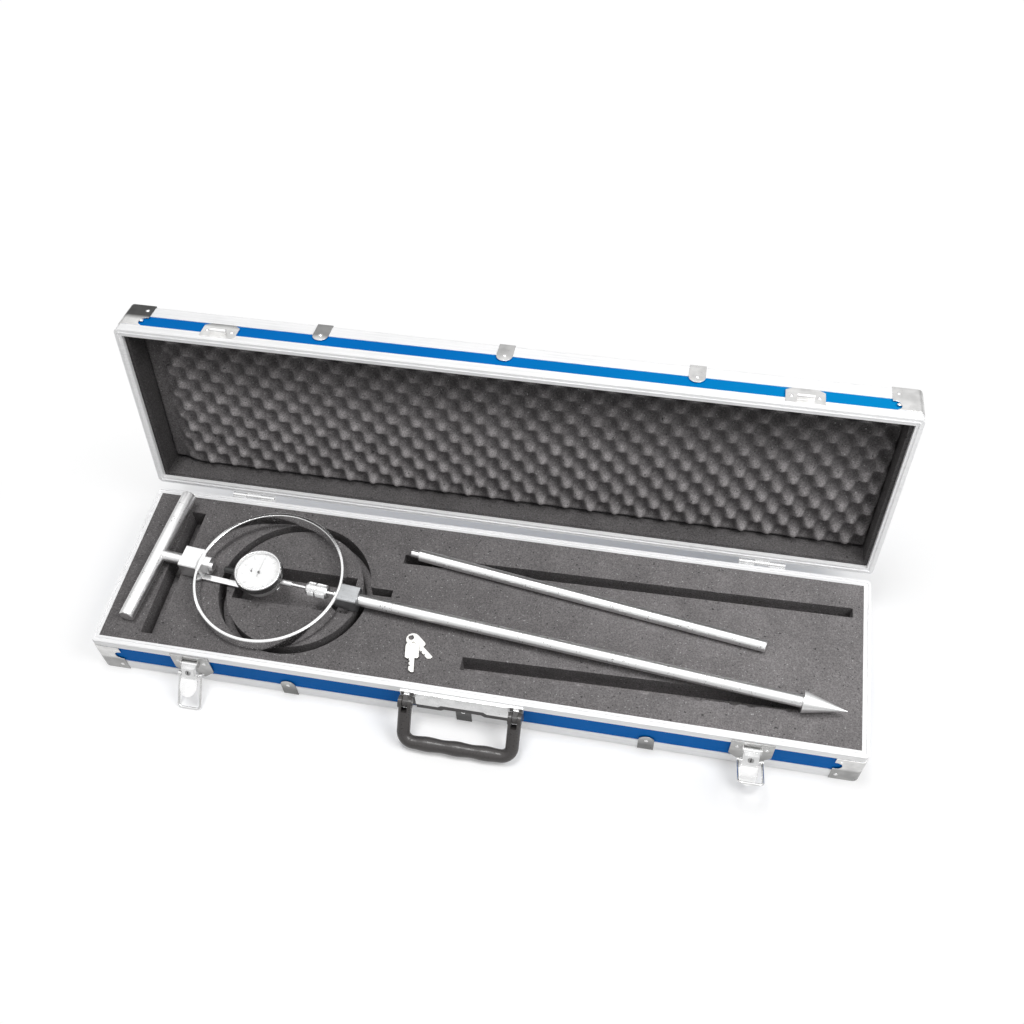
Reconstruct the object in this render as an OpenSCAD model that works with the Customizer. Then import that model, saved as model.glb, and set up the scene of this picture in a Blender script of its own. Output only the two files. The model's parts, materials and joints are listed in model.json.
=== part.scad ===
// Proving-ring soil penetrometer with its extension rod and keys, in an aluminium carrying case.
// Millimetres. X runs along the case, Y to its hinges, Z up from its underside.

/* [Case] */
// Outer length of the case
case_l = 985; // [960:1:1040]
// Outer width of the case
case_w = 255; // [245:1:290]
// Height of the base, up to its rim
base_h = 65; // [60:1:90]
// Depth of the lid, down from its rim
lid_h = 56; // [52:1:80]
// How far the lid stands open
lid_open = 99.3; // [90:0.1:110]
// Gap between the two rims when the lid is shut
rim_gap = 0.4; // [0.2:0.1:1]
// Radius of the case's upright corners
corner_r = 6; // [3:0.5:10]

/* [Boards and extrusions] */
// Thickness of the plywood boards
board_t = 4; // [3:0.5:5]
// Wall of the aluminium extrusions
skin_t = 1.2; // [0.8:0.1:1.6]
// Width of the rim's flat top
rim_w = 9.2; // [8.5:0.1:12]
// Height of the rim on the outside of the base
base_skirt = 12; // [8:0.5:15]
// Height of the rim on the outside of the lid
lid_skirt = 14; // [8:0.5:15]
// How far the bottom edge strip comes up the base's sides
base_edge = 20.5; // [12:0.5:22]
// How far the top edge strip comes down the lid's sides
lid_edge = 21.5; // [12:0.5:22]
// How far the edge strips lap over the flat boards
edge_lap = 24.5; // [24:0.5:30]
// Width of the sealing bead on the lid's rim
bead_w = 1.6; // [1:0.1:2]
// Height of the sealing bead
bead_h = 0.8; // [0.5:0.1:1]
// Length of a rim corner piece along each side
rim_corner = 13; // [11:0.5:20]

/* [Corner caps, clips and hinges] */
// Sheet thickness of the corner caps
cap_t = 0.9; // [0.6:0.1:1.2]
// Length of a corner cap along each side
cap_l = 35.5; // [30:0.5:45]
// Width of an edge clip
clip_w = 20; // [16:1:24]
// How far an edge clip comes up the side
clip_h = 33; // [28:0.5:36]
// Distance from the case's end to the nearest clip
clip_end = 260.5; // [230:0.5:290]
// Length of a hinge
hinge_l = 60; // [50:1:75]
// Distance from the case's end to the middle of a hinge
hinge_end = 140.5; // [110:0.5:190]
// Radius of a hinge knuckle
knuckle_r = 3.6; // [3.2:0.1:4]
// Radius of the hinge pins
hinge_pin_r = 1.5; // [1:0.1:1.8]
// Distance of the hinge pins behind the case
hinge_back = 5.4; // [5.2:0.1:6.5]

/* [Foam] */
// Depth of the pockets in the base foam
pocket_d = 30; // [24:1:36]
// Drop of the base foam below the rim
foam_drop = 0.4; // [0.2:0.1:2]
// Thickness of the foam on the lid's side walls
lining_t = 5; // [3:0.5:6]
// Solid part of the lid's egg-crate foam
egg_base = 11; // [8:0.5:14]
// Height of the foam's bumps
egg_bump = 17; // [12:0.5:20]
// Distance from bump to bump along a row
egg_pitch = 33.5; // [30:0.5:40]
// Distance from one row of bumps to the next
egg_row = 19.7; // [18:0.1:24]

/* [Carrying handle] */
// Overall width of the handle
handle_w = 156; // [140:1:170]
// Distance from the handle's pivots to the middle of its grip
handle_reach = 52.6; // [48:0.2:55]
// How far the handle hangs below level
handle_drop = 50.4; // [45:0.1:52]
// Radius of the handle's arms
handle_arm_r = 8.5; // [7:0.1:9]
// Radius of the middle of the grip
handle_grip_r = 9.7; // [8.6:0.1:10]
// Height of the handle's pivots above the case's underside
handle_z = 51; // [50:0.5:54]
// Distance of the handle's pivots in front of the case
handle_u = 12.5; // [12.5:0.1:15]

/* [Latches] */
// Distance from the case's end to the middle of a latch
latch_end = 134.5; // [112:0.5:160]
// Width of a latch's base plate
latch_w = 52; // [46:1:60]
// Height of the lever's pivot above the case's underside
latch_z = 49.5; // [48:0.1:51]
// Distance of the lever's pivot in front of the case
latch_u = 5; // [4.8:0.1:5.4]
// Length of the latch lever from its pivot down to the crease of its tongue
lever_l = 20; // [19:0.5:22]
// Length of the tongue below the crease
tongue_l = 24; // [18:0.5:26]
// Angle of the tongue from the lever
tongue_turn = 35; // [20:1:40]
// Width of the latch lever
lever_w = 20; // [18:0.5:21]
// How far the levers hang out from the case
lever_out = 26; // [20:1:35]
// Length of the latch loop between its pivot and its bar
loop_l = 46; // [44:0.2:47]
// Radius of the loop's wire
loop_r = 1.6; // [1.2:0.1:1.8]
// Angle of the left loop from upright
loop_left = 136; // [120:1:150]
// Angle of the right loop from upright
loop_right = 60; // [50:1:75]

/* [Penetrometer] */
// Length of the cross handle
tee_l = 200; // [180:1:220]
// Radius of the cross handle
tee_r = 10; // [8:0.25:10.3]
// Radius of the stem that carries the cross handle
stem_r = 7.5; // [7:0.1:8]
// Length of the upper block along the axis
top_block_l = 26; // [20:0.5:28]
// Width of the upper block
top_block_w = 32; // [28:0.5:32]
// Height of the upper block
top_block_h = 27.6; // [24:0.1:27.6]
// Distance from the cross handle's axis to the ring's middle
ring_x = 162; // [160:0.5:175]
// Outer radius of the proving ring
ring_or = 99.6; // [95:0.2:104]
// Thickness of the ring's band
ring_t = 4.5; // [3.5:0.1:6]
// Width of the ring's band
ring_w = 21; // [17:0.5:21]
// Length of the lower block along the axis
low_block_l = 27; // [22:0.5:32]
// Width and height of the lower block
low_block_w = 25; // [22:0.5:28]
// Radius of the drive rods
rod_r = 8; // [7:0.1:9]
// Length of the main rod
rod_l = 569; // [540:1:575]
// Radius of the cone's base, 6.45 square centimetres
cone_r = 14.33; // [12:0.01:14.4]
// Length of the cone
cone_l = 53.5; // [45:0.1:56]
// Radius of the rods' threaded studs
stud_r = 4.9; // [4:0.05:5]
// Length of the rods' threaded studs
stud_l = 12; // [10:0.5:14]
// Radial clearance of a stud in its socket
stud_fit = 0.1; // [0.05:0.01:0.1]
// Length of the extension rod's barrel
ext_l = 464; // [440:1:480]

/* [Dial gauge] */
// Distance from the cross handle's axis to the gauge's middle
gauge_x = 148.7; // [146:0.1:152]
// Radius of the gauge's bezel
bezel_r = 31; // [29:0.1:32]
// Radius of the gauge's body
gauge_r = 26; // [25:0.1:27]
// Depth of the gauge's body behind its axis
gauge_back = 9; // [8.5:0.1:9]
// Height of the gauge's body in front of its axis
gauge_front = 10; // [9:0.1:12]
// Height of the bezel
bezel_h = 10.5; // [9:0.1:11]
// Radius of the plunger
plunger_r = 2.25; // [2:0.05:2.5]
// Radius of the gauge's stem
gauge_stem_r = 4; // [3.8:0.1:4.5]
// Length of the gauge's stem beyond the body
gauge_stem_l = 19; // [15:0.5:22]
// Length of the cap on the gauge's other side
gauge_cap_l = 26; // [20:0.5:28]
// Radius of the knurled anvil
anvil_r = 9; // [8:0.1:10]
// Length of the knurled anvil
anvil_l = 29; // [24:0.5:32]

/* [Keys] */
// Overall length of a key
key_l = 47; // [42:0.5:52]
// Width of a key's bow
key_w = 18; // [16:0.5:20]
// Thickness of a key
key_t = 2; // [1.5:0.1:2.5]

/* [Hidden] */
$fn = 48;
arc_steps = 4;
corner_min = 0.4;
fit = 0.3;
run = 0.05;
rim_top = 1.5;
rib_w = 1;
rib_d = 0.3;
clip_under = 24;
bottom_z = cap_t;
board_z = bottom_z + skin_t;
floor_z = board_z + board_t;
wall_in = skin_t + board_t;
base_top = base_h - rim_top;
foam_z = base_h - foam_drop;
pocket_z = foam_z - pocket_d;
lid_z = base_h + rim_gap;
lid_top = lid_z + lid_h;
lid_board_z = lid_top - cap_t - skin_t;
lid_in = lid_board_z - board_t;
clip_x = case_l / 2 - clip_end;
hinge_x = case_l / 2 - hinge_end;
latch_x = case_l / 2 - latch_end;
front_y = -case_w / 2;
back_y = case_w / 2;
hinge_y = back_y + hinge_back;
hinge_z = base_h + rim_gap / 2;
lip_h = 4;
slot_h = 10;
groove_in = 3.6;
groove_w = bead_w + 2 * fit;
groove_d = bead_h + 2 * fit;
leaf_t = 1.5;
rivet_r = 2.6;
rivet_h = 1.5;

// Places of what lies in the case
tee_at = [-443.2, 7.7, foam_z + fit + cone_r];
axis_turn = -5.34;
axis_roll = 2.2;
ext_at = [-108.1, 68.7, foam_z + fit + rod_r];
ext_turn = -8.11;
key_a_at = [-68.8, -106.3];
key_a_turn = 100;
key_b_at = [-49.2, -82];
key_b_turn = 140;

// Places of the pockets in the foam, left by an earlier packing of the same pieces
ring_pocket = [-251.2, -5.2];
ring_pocket_r = [91, 101.5];
tee_pocket = [[-431, -105], [-410, 93]];
gauge_pocket = [[-330, -34], [-172, 22]];
gauge_pocket_r = 28;
rod_pocket = [[-152, 0.3], [-121, 11.4]];
front_pocket = [[-10, -90.5], [468, -72]];
bite_r = 9;
bite_in = 6.5;
bites = [18, 49, 74, 110, 141, 182, 222, 251, 289, 330, 352, 398, 431];
back_pocket_at = [-118, 63];
back_pocket_w = 14;
back_pocket_l = 588;
back_pocket_turn = 1.1;

// Sizes worked out along the penetrometer's axis
ring_ir = ring_or - ring_t;
ring_left = ring_x - ring_or;
ring_right = ring_x + ring_or;
top_block_x = ring_left - top_block_l + 2.4;
nut_x = ring_x - ring_ir + 2;
nut_l = 9;
nut_af = 22;
screw_r = 6;
stem_end = nut_x + nut_l + 3;
low_block_x = ring_right - 1.2;
low_block_end = low_block_x + low_block_l;
rod_end = low_block_end + rod_l;
arm_t = 3;
arm_w = 8;
arm_y = -13;
gauge_left = gauge_x - gauge_r;
gauge_right = gauge_x + gauge_r;
anvil_x = gauge_right + gauge_stem_l + 21;
anvil_end = anvil_x + anvil_l;
pin_r = 2.5;
bezel_z = gauge_front - 2;
bezel_top = bezel_z + bezel_h;
well_r = bezel_r - 1.6;
lip_r = bezel_r - 2.6;
dial_r = well_r - fit;
dial_t = 0.8;
dial_z = gauge_front + fit;
glass_z = bezel_top - 3;
glass_t = 1.5;
hand_z = dial_z + dial_t + 1.8;
small_hand_z = dial_z + dial_t + 0.6;
small_hand_at = [-11, 0];
arbor_r = 0.8;
clamp_z = 2;
clamp_in = 5;

// Latch sizes
pin_a = [front_y - latch_u, latch_z];
crank = 16;
loop_w = 29;
loop_bend = 5;
lap = 0.2;
lock_drop = 9.2;
lock_r = 3.8;
ear_x = lever_w / 2 + 0.3;
ear_t = 1.5;
ear_r = 4.2;
plate_t = 1.5;
plate_z = [13, 28, 61.5];
plate_cut = 15;
plate_slot = [18, 3, 55];
strike_z = lid_z + 14.5;
strike_r = 3;
strike_w = 46;
strike_bar = 20;
strike_out = 4.5;
strike_plate = [-8.5, 13.5, 18.5];

// Handle sizes
lug_w = 7;
hub_gap = fit;
handle_x = handle_w / 2 - handle_arm_r;
handle_bend = 14;
handle_pin_r = 2;
base_plate_t = 3.5;
bracket_z = [30.5, 62];
bracket_step = [27, 31, 4.5];
cover_z = [34, 62];
cover_t = 1;

// Outlines worked out by rule
function arc(c, r, a, b, n = arc_steps) =
    [for (i = [0:n]) c + r * [cos(a + (b - a) * i / n), sin(a + (b - a) * i / n)]];
function rounded(l, w, r) = concat(
    arc([l / 2 - r, w / 2 - r], r, 0, 90), arc([r - l / 2, w / 2 - r], r, 90, 180),
    arc([r - l / 2, r - w / 2], r, 180, 270), arc([l / 2 - r, r - w / 2], r, 270, 360));

// A band of the case's outline, from inset a to inset b, standing on z
module band(a, b, z, h) {
    translate([0, 0, z]) linear_extrude(h) difference() {
        polygon(rounded(case_l - 2 * a, case_w - 2 * a, max(corner_r - a, corner_min)));
        polygon(rounded(case_l - 2 * b, case_w - 2 * b, max(corner_r - b, corner_min)));
    }
}

// Turns what is drawn shut with the lid up to its open place
module on_lid() {
    translate([0, hinge_y, hinge_z]) rotate([-lid_open, 0, 0]) translate([0, -hinge_y, -hinge_z])
        children();
}

// Draws a copy in each of the four corners
module four_corners() {
    for (x = [0, 1], y = [0, 1]) mirror([x, 0, 0]) mirror([0, y, 0]) children();
}

// The walls of a tray, joined round their rounded corners
module wall_boards(z0, z1) {
    band(skin_t, wall_in, z0, z1 - z0);
}

// The thicker middle of a board that is rebated for the edge strips
module field(z, h) {
    inset = edge_lap + fit;
    translate([inset - case_l / 2, inset - case_w / 2, z])
        cube([case_l - 2 * inset, case_w - 2 * inset, h]);
}

// A flat sheet of the case's outline, from inset a, standing on z
module sheet(a, z, h) {
    translate([0, 0, z]) linear_extrude(h)
        polygon(rounded(case_l - 2 * a, case_w - 2 * a, max(corner_r - a, corner_min)));
}

// The base rim's section all round, with its outside skirt, inside slot wall, lip and seal groove
module base_rim_ring() {
    difference() {
        union() {
            band(0, skin_t, base_h - base_skirt, base_skirt - rim_top + 0.1);
            band(0, rim_w, base_top, rim_top);
            band(wall_in, wall_in + skin_t, base_h - slot_h, slot_h - rim_top + 0.1);
            band(rim_w - skin_t, rim_w, base_top - lip_h, lip_h + 0.1);
        }
        band(groove_in, groove_in + groove_w, base_h - groove_d, groove_d + 1);
        for (d = [4, base_skirt - 2]) band(-1, rib_d, base_h - d, rib_w);
    }
}

module lid_rim_ring() {
    difference() {
        union() {
            band(0, skin_t, lid_z + rim_top - 0.1, lid_skirt - rim_top + 0.1);
            band(0, rim_w, lid_z, rim_top);
        }
        for (d = [4, lid_skirt - 2]) band(-1, rib_d, lid_z + d - rib_w, rib_w);
    }
    band(wall_in, wall_in + skin_t, lid_z + rim_top - 0.1, slot_h - rim_top + 0.1);
    band(rim_w - skin_t, rim_w, lid_z + rim_top - 0.1, lip_h + 0.1);
    band(groove_in + fit, groove_in + fit + bead_w, lid_z - bead_h, bead_h + 0.1);
}

// Square columns round the four corners, where the rim's corner pieces are
module corner_columns(z) {
    four_corners() translate([case_l / 2 - rim_corner, case_w / 2 - rim_corner, z])
        cube([rim_corner + 5, rim_corner + 5, 40]);
}

// An L section with a rounded outer corner and lengthwise grooves, its corner at the origin
module edge_section(up) {
    r = 2.2;
    polygon(concat(arc([r, r], r, 270, 180),
        [for (z = [5, up / 2, up - 3]) each [[0, z], [rib_d, z + rib_w / 2], [0, z + rib_w]]],
        [[0, up], [skin_t, up], [skin_t, skin_t], [edge_lap, skin_t], [edge_lap, 0]]));
}

// Four straight edge strips that stop under the corner caps
module edge_strips(up) {
    stop = 12;
    for (s = [0, 1]) {
        mirror([0, s, 0]) translate([-case_l / 2 + stop, front_y, 0])
            rotate([90, 0, 90]) linear_extrude(case_l - 2 * stop) edge_section(up);
        mirror([s, 0, 0]) translate([-case_l / 2, case_w / 2 - stop, 0])
            rotate([90, 0, 0]) linear_extrude(case_w - 2 * stop) edge_section(up);
    }
}

// A pressed corner cap that stands outside the edge strips, with two tabs on each side
module corner_cap(h) {
    notch_r = 8;
    notch_z = base_edge + 14;
    x0 = case_l / 2 - cap_l;
    y0 = case_w / 2 - cap_l;
    difference() {
        intersection() {
            union() {
                band(-cap_t, 0, 0, h);
                linear_extrude(cap_t) polygon(rounded(case_l, case_w, corner_r));
            }
            linear_extrude(h) polygon([[x0, case_w / 2 + 2], [x0, case_w / 2 - 12],
                [x0 + 18, y0 + 5], [case_l / 2 - 12, y0], [case_l / 2 + 2, y0],
                [case_l / 2 + 2, case_w / 2 + 2]]);
        }
        translate([x0 + 2, case_w / 2 + 5, notch_z]) rotate([90, 0, 0]) cylinder(r = notch_r, h = 10);
        translate([case_l / 2 - 5, y0 + 2, notch_z]) rotate([0, 90, 0]) cylinder(r = notch_r, h = 10);
    }
}

// An edge clip with a half-round top, bent under the case
module clip(x) {
    translate([x, front_y, 0]) {
        rotate([90, 0, 0]) linear_extrude(cap_t) union() {
            translate([-clip_w / 2, 0]) square([clip_w, clip_h - clip_w / 2]);
            translate([0, clip_h - clip_w / 2]) circle(r = clip_w / 2);
        }
        translate([-clip_w / 2, -cap_t, 0]) cube([clip_w, clip_under, cap_t]);
    }
}

module clips_all_round() {
    for (x = [-clip_x, 0, clip_x], s = [0, 1]) mirror([0, s, 0]) clip(x);
    for (s = [0, 1]) mirror([s, 0, 0]) translate([-case_l / 2 - front_y, 0, 0])
        rotate([0, 0, -90]) clip(0);
}

// A domed rivet head on a front face at depth y, looking along -Y
module rivet(x, y, z) {
    dome = 3.5;
    translate([x, y, z]) rotate([90, 0, 0]) rotate_extrude()
        polygon(concat([[0, 0], [rivet_r, 0]], arc([0, rivet_h - dome], dome, 45, 90)));
}

// Rivets of one corner's two faces and its tabs
module corner_rivets(h) {
    for (z = [12, h - 9]) {
        translate([0, 0, z]) mirror([0, 1, 0])
            rivet(case_l / 2 - cap_l + 7, front_y - cap_t, 0);
        translate([case_l / 2 + cap_t, case_w / 2 - cap_l + 7, z]) rotate([0, 0, 90]) rivet(0, 0, 0);
    }
}

module clip_rivets() {
    z = clip_h - clip_w / 2;
    for (x = [-clip_x, 0, clip_x], s = [0, 1]) mirror([0, s, 0]) rivet(x, front_y - cap_t, z);
    for (s = [0, 1]) mirror([s, 0, 0]) translate([-case_l / 2 - cap_t, 0, 0])
        rotate([0, 0, -90]) rivet(0, 0, z);
}

module base_boards() {
    color("steelblue") wall_boards(floor_z, base_top);
}

module base_floor_board() {
    color("steelblue") {
        sheet(skin_t, board_z, board_t);
        field(bottom_z, skin_t + 1);
    }
}

module base_rim() {
    color("gainsboro") difference() {
        base_rim_ring();
        corner_columns(base_h - 30);
    }
}

module base_rim_corners() {
    color("silver") intersection() {
        base_rim_ring();
        corner_columns(base_h - 30);
    }
}

module base_edge_strips() {
    color("gainsboro") translate([0, 0, bottom_z]) edge_strips(base_edge - bottom_z);
}

module base_corner_caps() {
    color("silver") four_corners() corner_cap(base_h - base_skirt);
}

module base_clips() {
    color("silver") clips_all_round();
}

module base_rivets() {
    color("white") {
        four_corners() corner_rivets(base_h - base_skirt);
        clip_rivets();
        for (s = [-1, 1], r = [[-17.5, 47.5], [17.5, 47.5], [-8, 18.5], [8, 18.5]])
            rivet(s * latch_x + r[0], front_y - plate_t, r[1]);
    }
}

module base_foam_lower() {
    color("dimgray") sheet(wall_in, floor_z, pocket_z - floor_z);
}

module pocket(corners) {
    size = corners[1] - corners[0];
    translate([corners[0][0], corners[0][1], pocket_z - 1]) cube([size[0], size[1], pocket_d + 5]);
}

module base_foam_upper() {
    color("dimgray") difference() {
        sheet(rim_w + 0.1, pocket_z, pocket_d);
        translate([ring_pocket[0], ring_pocket[1], pocket_z - 1]) difference() {
            cylinder(r = ring_pocket_r[1], h = pocket_d + 5, $fn = 96);
            translate([0, 0, -1]) cylinder(r = ring_pocket_r[0], h = pocket_d + 7, $fn = 96);
        }
        pocket(gauge_pocket);
        pocket(tee_pocket);
        pocket(rod_pocket);
        pocket(front_pocket);
        translate([back_pocket_at[0], back_pocket_at[1], pocket_z - 1])
            rotate([0, 0, back_pocket_turn]) translate([0, -back_pocket_w / 2, 0])
            cube([back_pocket_l, back_pocket_w, pocket_d + 5]);
        for (x = bites) translate([x, front_pocket[0][1] + bite_in, pocket_z - 1])
            cylinder(r = bite_r, h = pocket_d + 5, $fn = 24);
    }
}

// Knuckles of one leaf: the base has the outer two and the lid the middle one
module knuckles(parts) {
    third = hinge_l / 3;
    for (i = parts) translate([(i - 1.5) * third + run, hinge_y, hinge_z]) rotate([0, 90, 0])
        difference() {
            cylinder(r = knuckle_r, h = third - 2 * run);
            translate([0, 0, -1]) cylinder(r = hinge_pin_r + run, h = third + 2);
        }
}

module base_leaf(x) {
    translate([x, 0, 0]) {
        knuckles([0, 2]);
        for (i = [0, 2]) translate([(i - 1.5) * hinge_l / 3 + run, back_y, hinge_z - 8])
            difference() {
                cube([hinge_l / 3 - 2 * run, hinge_back, 8]);
                translate([-1, hinge_back, 8]) rotate([0, 90, 0])
                    cylinder(r = hinge_pin_r + 1, h = hinge_l);
                translate([-1, leaf_t, -1]) cube([hinge_l, hinge_back, 4]);
            }
        translate([-hinge_l / 2, back_y, hinge_z - 24]) cube([hinge_l, leaf_t, 17]);
    }
}

module lid_leaf(x) {
    translate([x, 0, 0]) {
        knuckles([1]);
        translate([-hinge_l / 6 + run, back_y, hinge_z]) difference() {
            cube([hinge_l / 3 - 2 * run, hinge_back, 8]);
            translate([-1, hinge_back, 0]) rotate([0, 90, 0])
                cylinder(r = hinge_pin_r + 1, h = hinge_l);
            translate([-1, leaf_t, 5]) cube([hinge_l, hinge_back, 4]);
        }
        translate([-hinge_l / 2, back_y, hinge_z + 7.5]) cube([hinge_l, leaf_t, 17]);
    }
}

module hinge_base_leaves() {
    color("silver") for (s = [-1, 1]) base_leaf(s * hinge_x);
}

module hinge_lid_leaves() {
    color("silver") on_lid() for (s = [-1, 1]) lid_leaf(s * hinge_x);
}

module hinge_pins() {
    color("gray") for (s = [-1, 1]) translate([s * hinge_x - hinge_l / 2, hinge_y, hinge_z])
        rotate([0, 90, 0]) cylinder(r = hinge_pin_r, h = hinge_l);
}

module lid_boards() {
    color("royalblue") on_lid() wall_boards(lid_z + rim_top, lid_in);
}

module lid_top_board() {
    color("royalblue") on_lid() {
        sheet(skin_t, lid_in, board_t);
        field(lid_board_z - 1, skin_t + 1);
    }
}

module lid_rim() {
    color("gainsboro") on_lid() difference() {
        lid_rim_ring();
        corner_columns(lid_z - 5);
    }
}

module lid_rim_corners() {
    color("silver") on_lid() intersection() {
        lid_rim_ring();
        corner_columns(lid_z - 5);
    }
}

// Draws upside down from the lid's top, so that base pieces serve the lid too
module from_lid_top() {
    on_lid() translate([0, 0, lid_top]) mirror([0, 0, 1]) children();
}

module lid_edge_strips() {
    color("gainsboro") from_lid_top() translate([0, 0, cap_t]) edge_strips(lid_edge - cap_t);
}

module lid_corner_caps() {
    color("silver") from_lid_top() four_corners() corner_cap(lid_h - lid_skirt);
}

module lid_clips() {
    color("silver") from_lid_top() clips_all_round();
}

module lid_rivets() {
    color("white") {
        from_lid_top() {
            four_corners() corner_rivets(lid_h - lid_skirt);
            clip_rivets();
        }
        on_lid() for (s = [-1, 1], x = [-16, 16])
            rivet(s * latch_x + x, front_y - skin_t, strike_z + 3);
    }
}

// The catch that a latch loop hooks over: a plate with a curled bar
module strike(x) {
    w = strike_w / 2;
    z = [for (h = strike_plate) strike_z + h];
    translate([x, front_y, 0]) rotate([90, 0, 0]) linear_extrude(skin_t) polygon([
        [-w, z[0]], [w, z[0]], [w, z[1]], [w - 8, z[2]], [8 - w, z[2]], [-w, z[1]]]);
    translate([x - strike_bar / 2, front_y - strike_out, strike_z]) {
        rotate([0, 90, 0]) cylinder(r = strike_r, h = strike_bar);
        translate([0, 0, -strike_r]) cube([strike_bar, strike_out - 0.5, strike_r - 0.2]);
    }
}

module lid_strikes() {
    color("silver") on_lid() for (s = [-1, 1]) strike(s * latch_x);
}

// Foam on the lid's walls, as thick as reaches past the rim's lip, with a step that clears it
module lid_lining() {
    wide = lid_z + slot_h + 0.2;
    narrow = lid_z + rim_top + lip_h + 0.2;
    color("dimgray") on_lid() {
        band(wall_in, rim_w + lining_t, wide, lid_in - wide);
        band(rim_w + 0.2, rim_w + lining_t, narrow, wide - narrow + 0.1);
    }
}

// Egg-crate foam: bumps on a chequer of points, peaks and dips in turn
module egg_crate(nx, ny) {
    w = nx * egg_pitch / 2;
    d = ny * egg_row;
    side = nx + 1;
    count = side * (ny + 1);
    top = [for (j = [0:ny], i = [0:nx]) [i * egg_pitch / 2 - w / 2, j * egg_row - d / 2,
        -egg_base - ((i + j) % 2 == 0 ? egg_bump : 0)]];
    rim = concat([for (i = [0:nx]) i], [for (j = [1:ny]) j * side + nx],
        [for (i = [nx - 1:-1:0]) ny * side + i], [for (j = [ny - 1:-1:1]) j * side]);
    n = len(rim);
    foot = concat([for (k = rim) [top[k][0], top[k][1], 0]], [[0, 0, 0]]);
    cell = function(i, j) j * side + i;
    faces = concat(
        [for (j = [0:ny - 1], i = [0:nx - 1]) (i + j) % 2 == 0
            ? [cell(i, j), cell(i + 1, j), cell(i, j + 1)]
            : [cell(i, j), cell(i + 1, j), cell(i + 1, j + 1)]],
        [for (j = [0:ny - 1], i = [0:nx - 1]) (i + j) % 2 == 0
            ? [cell(i + 1, j), cell(i + 1, j + 1), cell(i, j + 1)]
            : [cell(i, j), cell(i + 1, j + 1), cell(i, j + 1)]],
        [for (k = [0:n - 1]) [rim[k], count + k, rim[(k + 1) % n]]],
        [for (k = [0:n - 1]) [count + k, count + (k + 1) % n, rim[(k + 1) % n]]],
        [for (k = [0:n - 1]) [count + (k + 1) % n, count + k, count + n]]);
    polyhedron(concat(top, foot), faces);
}

module lid_egg_foam() {
    inside = rim_w + lining_t + 0.7;
    nx = floor((case_l - 2 * inside) / (egg_pitch / 2));
    ny = floor((case_w - 2 * inside) / egg_row);
    color("dimgray") on_lid() translate([0, 0, lid_in]) egg_crate(nx, ny);
}

// An upright plate whose lower edge steps up in the middle
module stepped_plate(w, z, y, t) {
    s = bracket_step;
    translate([0, y, 0]) rotate([90, 0, 0]) linear_extrude(t) polygon([[-w, z[1]], [-w, z[0]],
        [-s[1], z[0]], [-s[0], z[0] + s[2]], [s[0], z[0] + s[2]], [s[1], z[0]], [w, z[0]], [w, z[1]]]);
}

module handle_bracket() {
    lugs = [-handle_x, handle_x];
    color([0.2, 0.2, 0.2]) difference() {
        union() {
            stepped_plate(handle_w / 2, bracket_z, front_y, base_plate_t);
            for (x = lugs) translate([x - lug_w / 2, front_y - handle_u, handle_z]) {
                rotate([0, 90, 0]) cylinder(r = 6, h = lug_w);
                translate([0, 0, -6]) cube([lug_w, handle_u - 1, 12]);
            }
        }
        for (x = lugs) translate([x - lug_w, front_y - handle_u, handle_z]) rotate([0, 90, 0])
            cylinder(r = handle_pin_r + run, h = 2 * lug_w);
    }
}

module handle_cover() {
    w = handle_x - handle_arm_r - 5 * fit;
    color("gainsboro") stepped_plate(w, cover_z, front_y - base_plate_t, cover_t);
}

// A round bar along +Z, with a thinner plug below it that joins it to the bar before it
module plugged_bar(r, h) {
    cylinder(r = r, h = h);
    translate([0, 0, -lap]) cylinder(r = r - lap, h = 2 * lap);
}

// The U-shaped bar, drawn with its pivots on the X axis and its grip towards -Y
module grip_bar() {
    b = handle_bend;
    r = handle_arm_r;
    half = handle_x - b;
    waves = 24;
    translate([-half, -handle_reach, 0]) rotate([90, 0, 90]) rotate_extrude() polygon(concat(
        [[0, -lap], [r - lap, -lap], [r - lap, 0]],
        [for (i = [0:waves]) [r + (handle_grip_r - r) * pow(sin(540 * i / waves), 2),
            2 * half * i / waves]],
        [[r - lap, 2 * half], [r - lap, 2 * half + lap], [0, 2 * half + lap]]));
    for (s = [0, 1]) mirror([s, 0, 0]) {
        translate([half, b - handle_reach, 0]) rotate([0, 0, -90]) rotate_extrude(angle = 90)
            translate([b, 0]) circle(r = r);
        translate([handle_x, b - handle_reach, 0]) rotate([-90, 0, 0])
            plugged_bar(r, handle_reach - b - 2);
    }
}

module handle_grip() {
    slot = lug_w + 2 * hub_gap;
    color([0.2, 0.2, 0.2]) translate([0, front_y - handle_u, handle_z]) rotate([handle_drop, 0, 0])
        difference() {
            union() {
                grip_bar();
                for (s = [-1, 1]) translate([s * handle_x - handle_arm_r, 0, 0]) rotate([0, 90, 0])
                    cylinder(r = 8, h = 2 * handle_arm_r);
            }
            for (s = [-1, 1]) {
                translate([s * handle_x - slot / 2, -11, -12]) cube([slot, 24, 24]);
                translate([s * handle_x - 12, 0, 0]) rotate([0, 90, 0])
                    cylinder(r = handle_pin_r, h = 24);
            }
        }
}

module handle_pins() {
    color("silver") for (s = [-1, 1])
        translate([s * handle_x - handle_arm_r, front_y - handle_u, handle_z]) rotate([0, 90, 0])
        cylinder(r = handle_pin_r, h = 2 * handle_arm_r);
}

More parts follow.
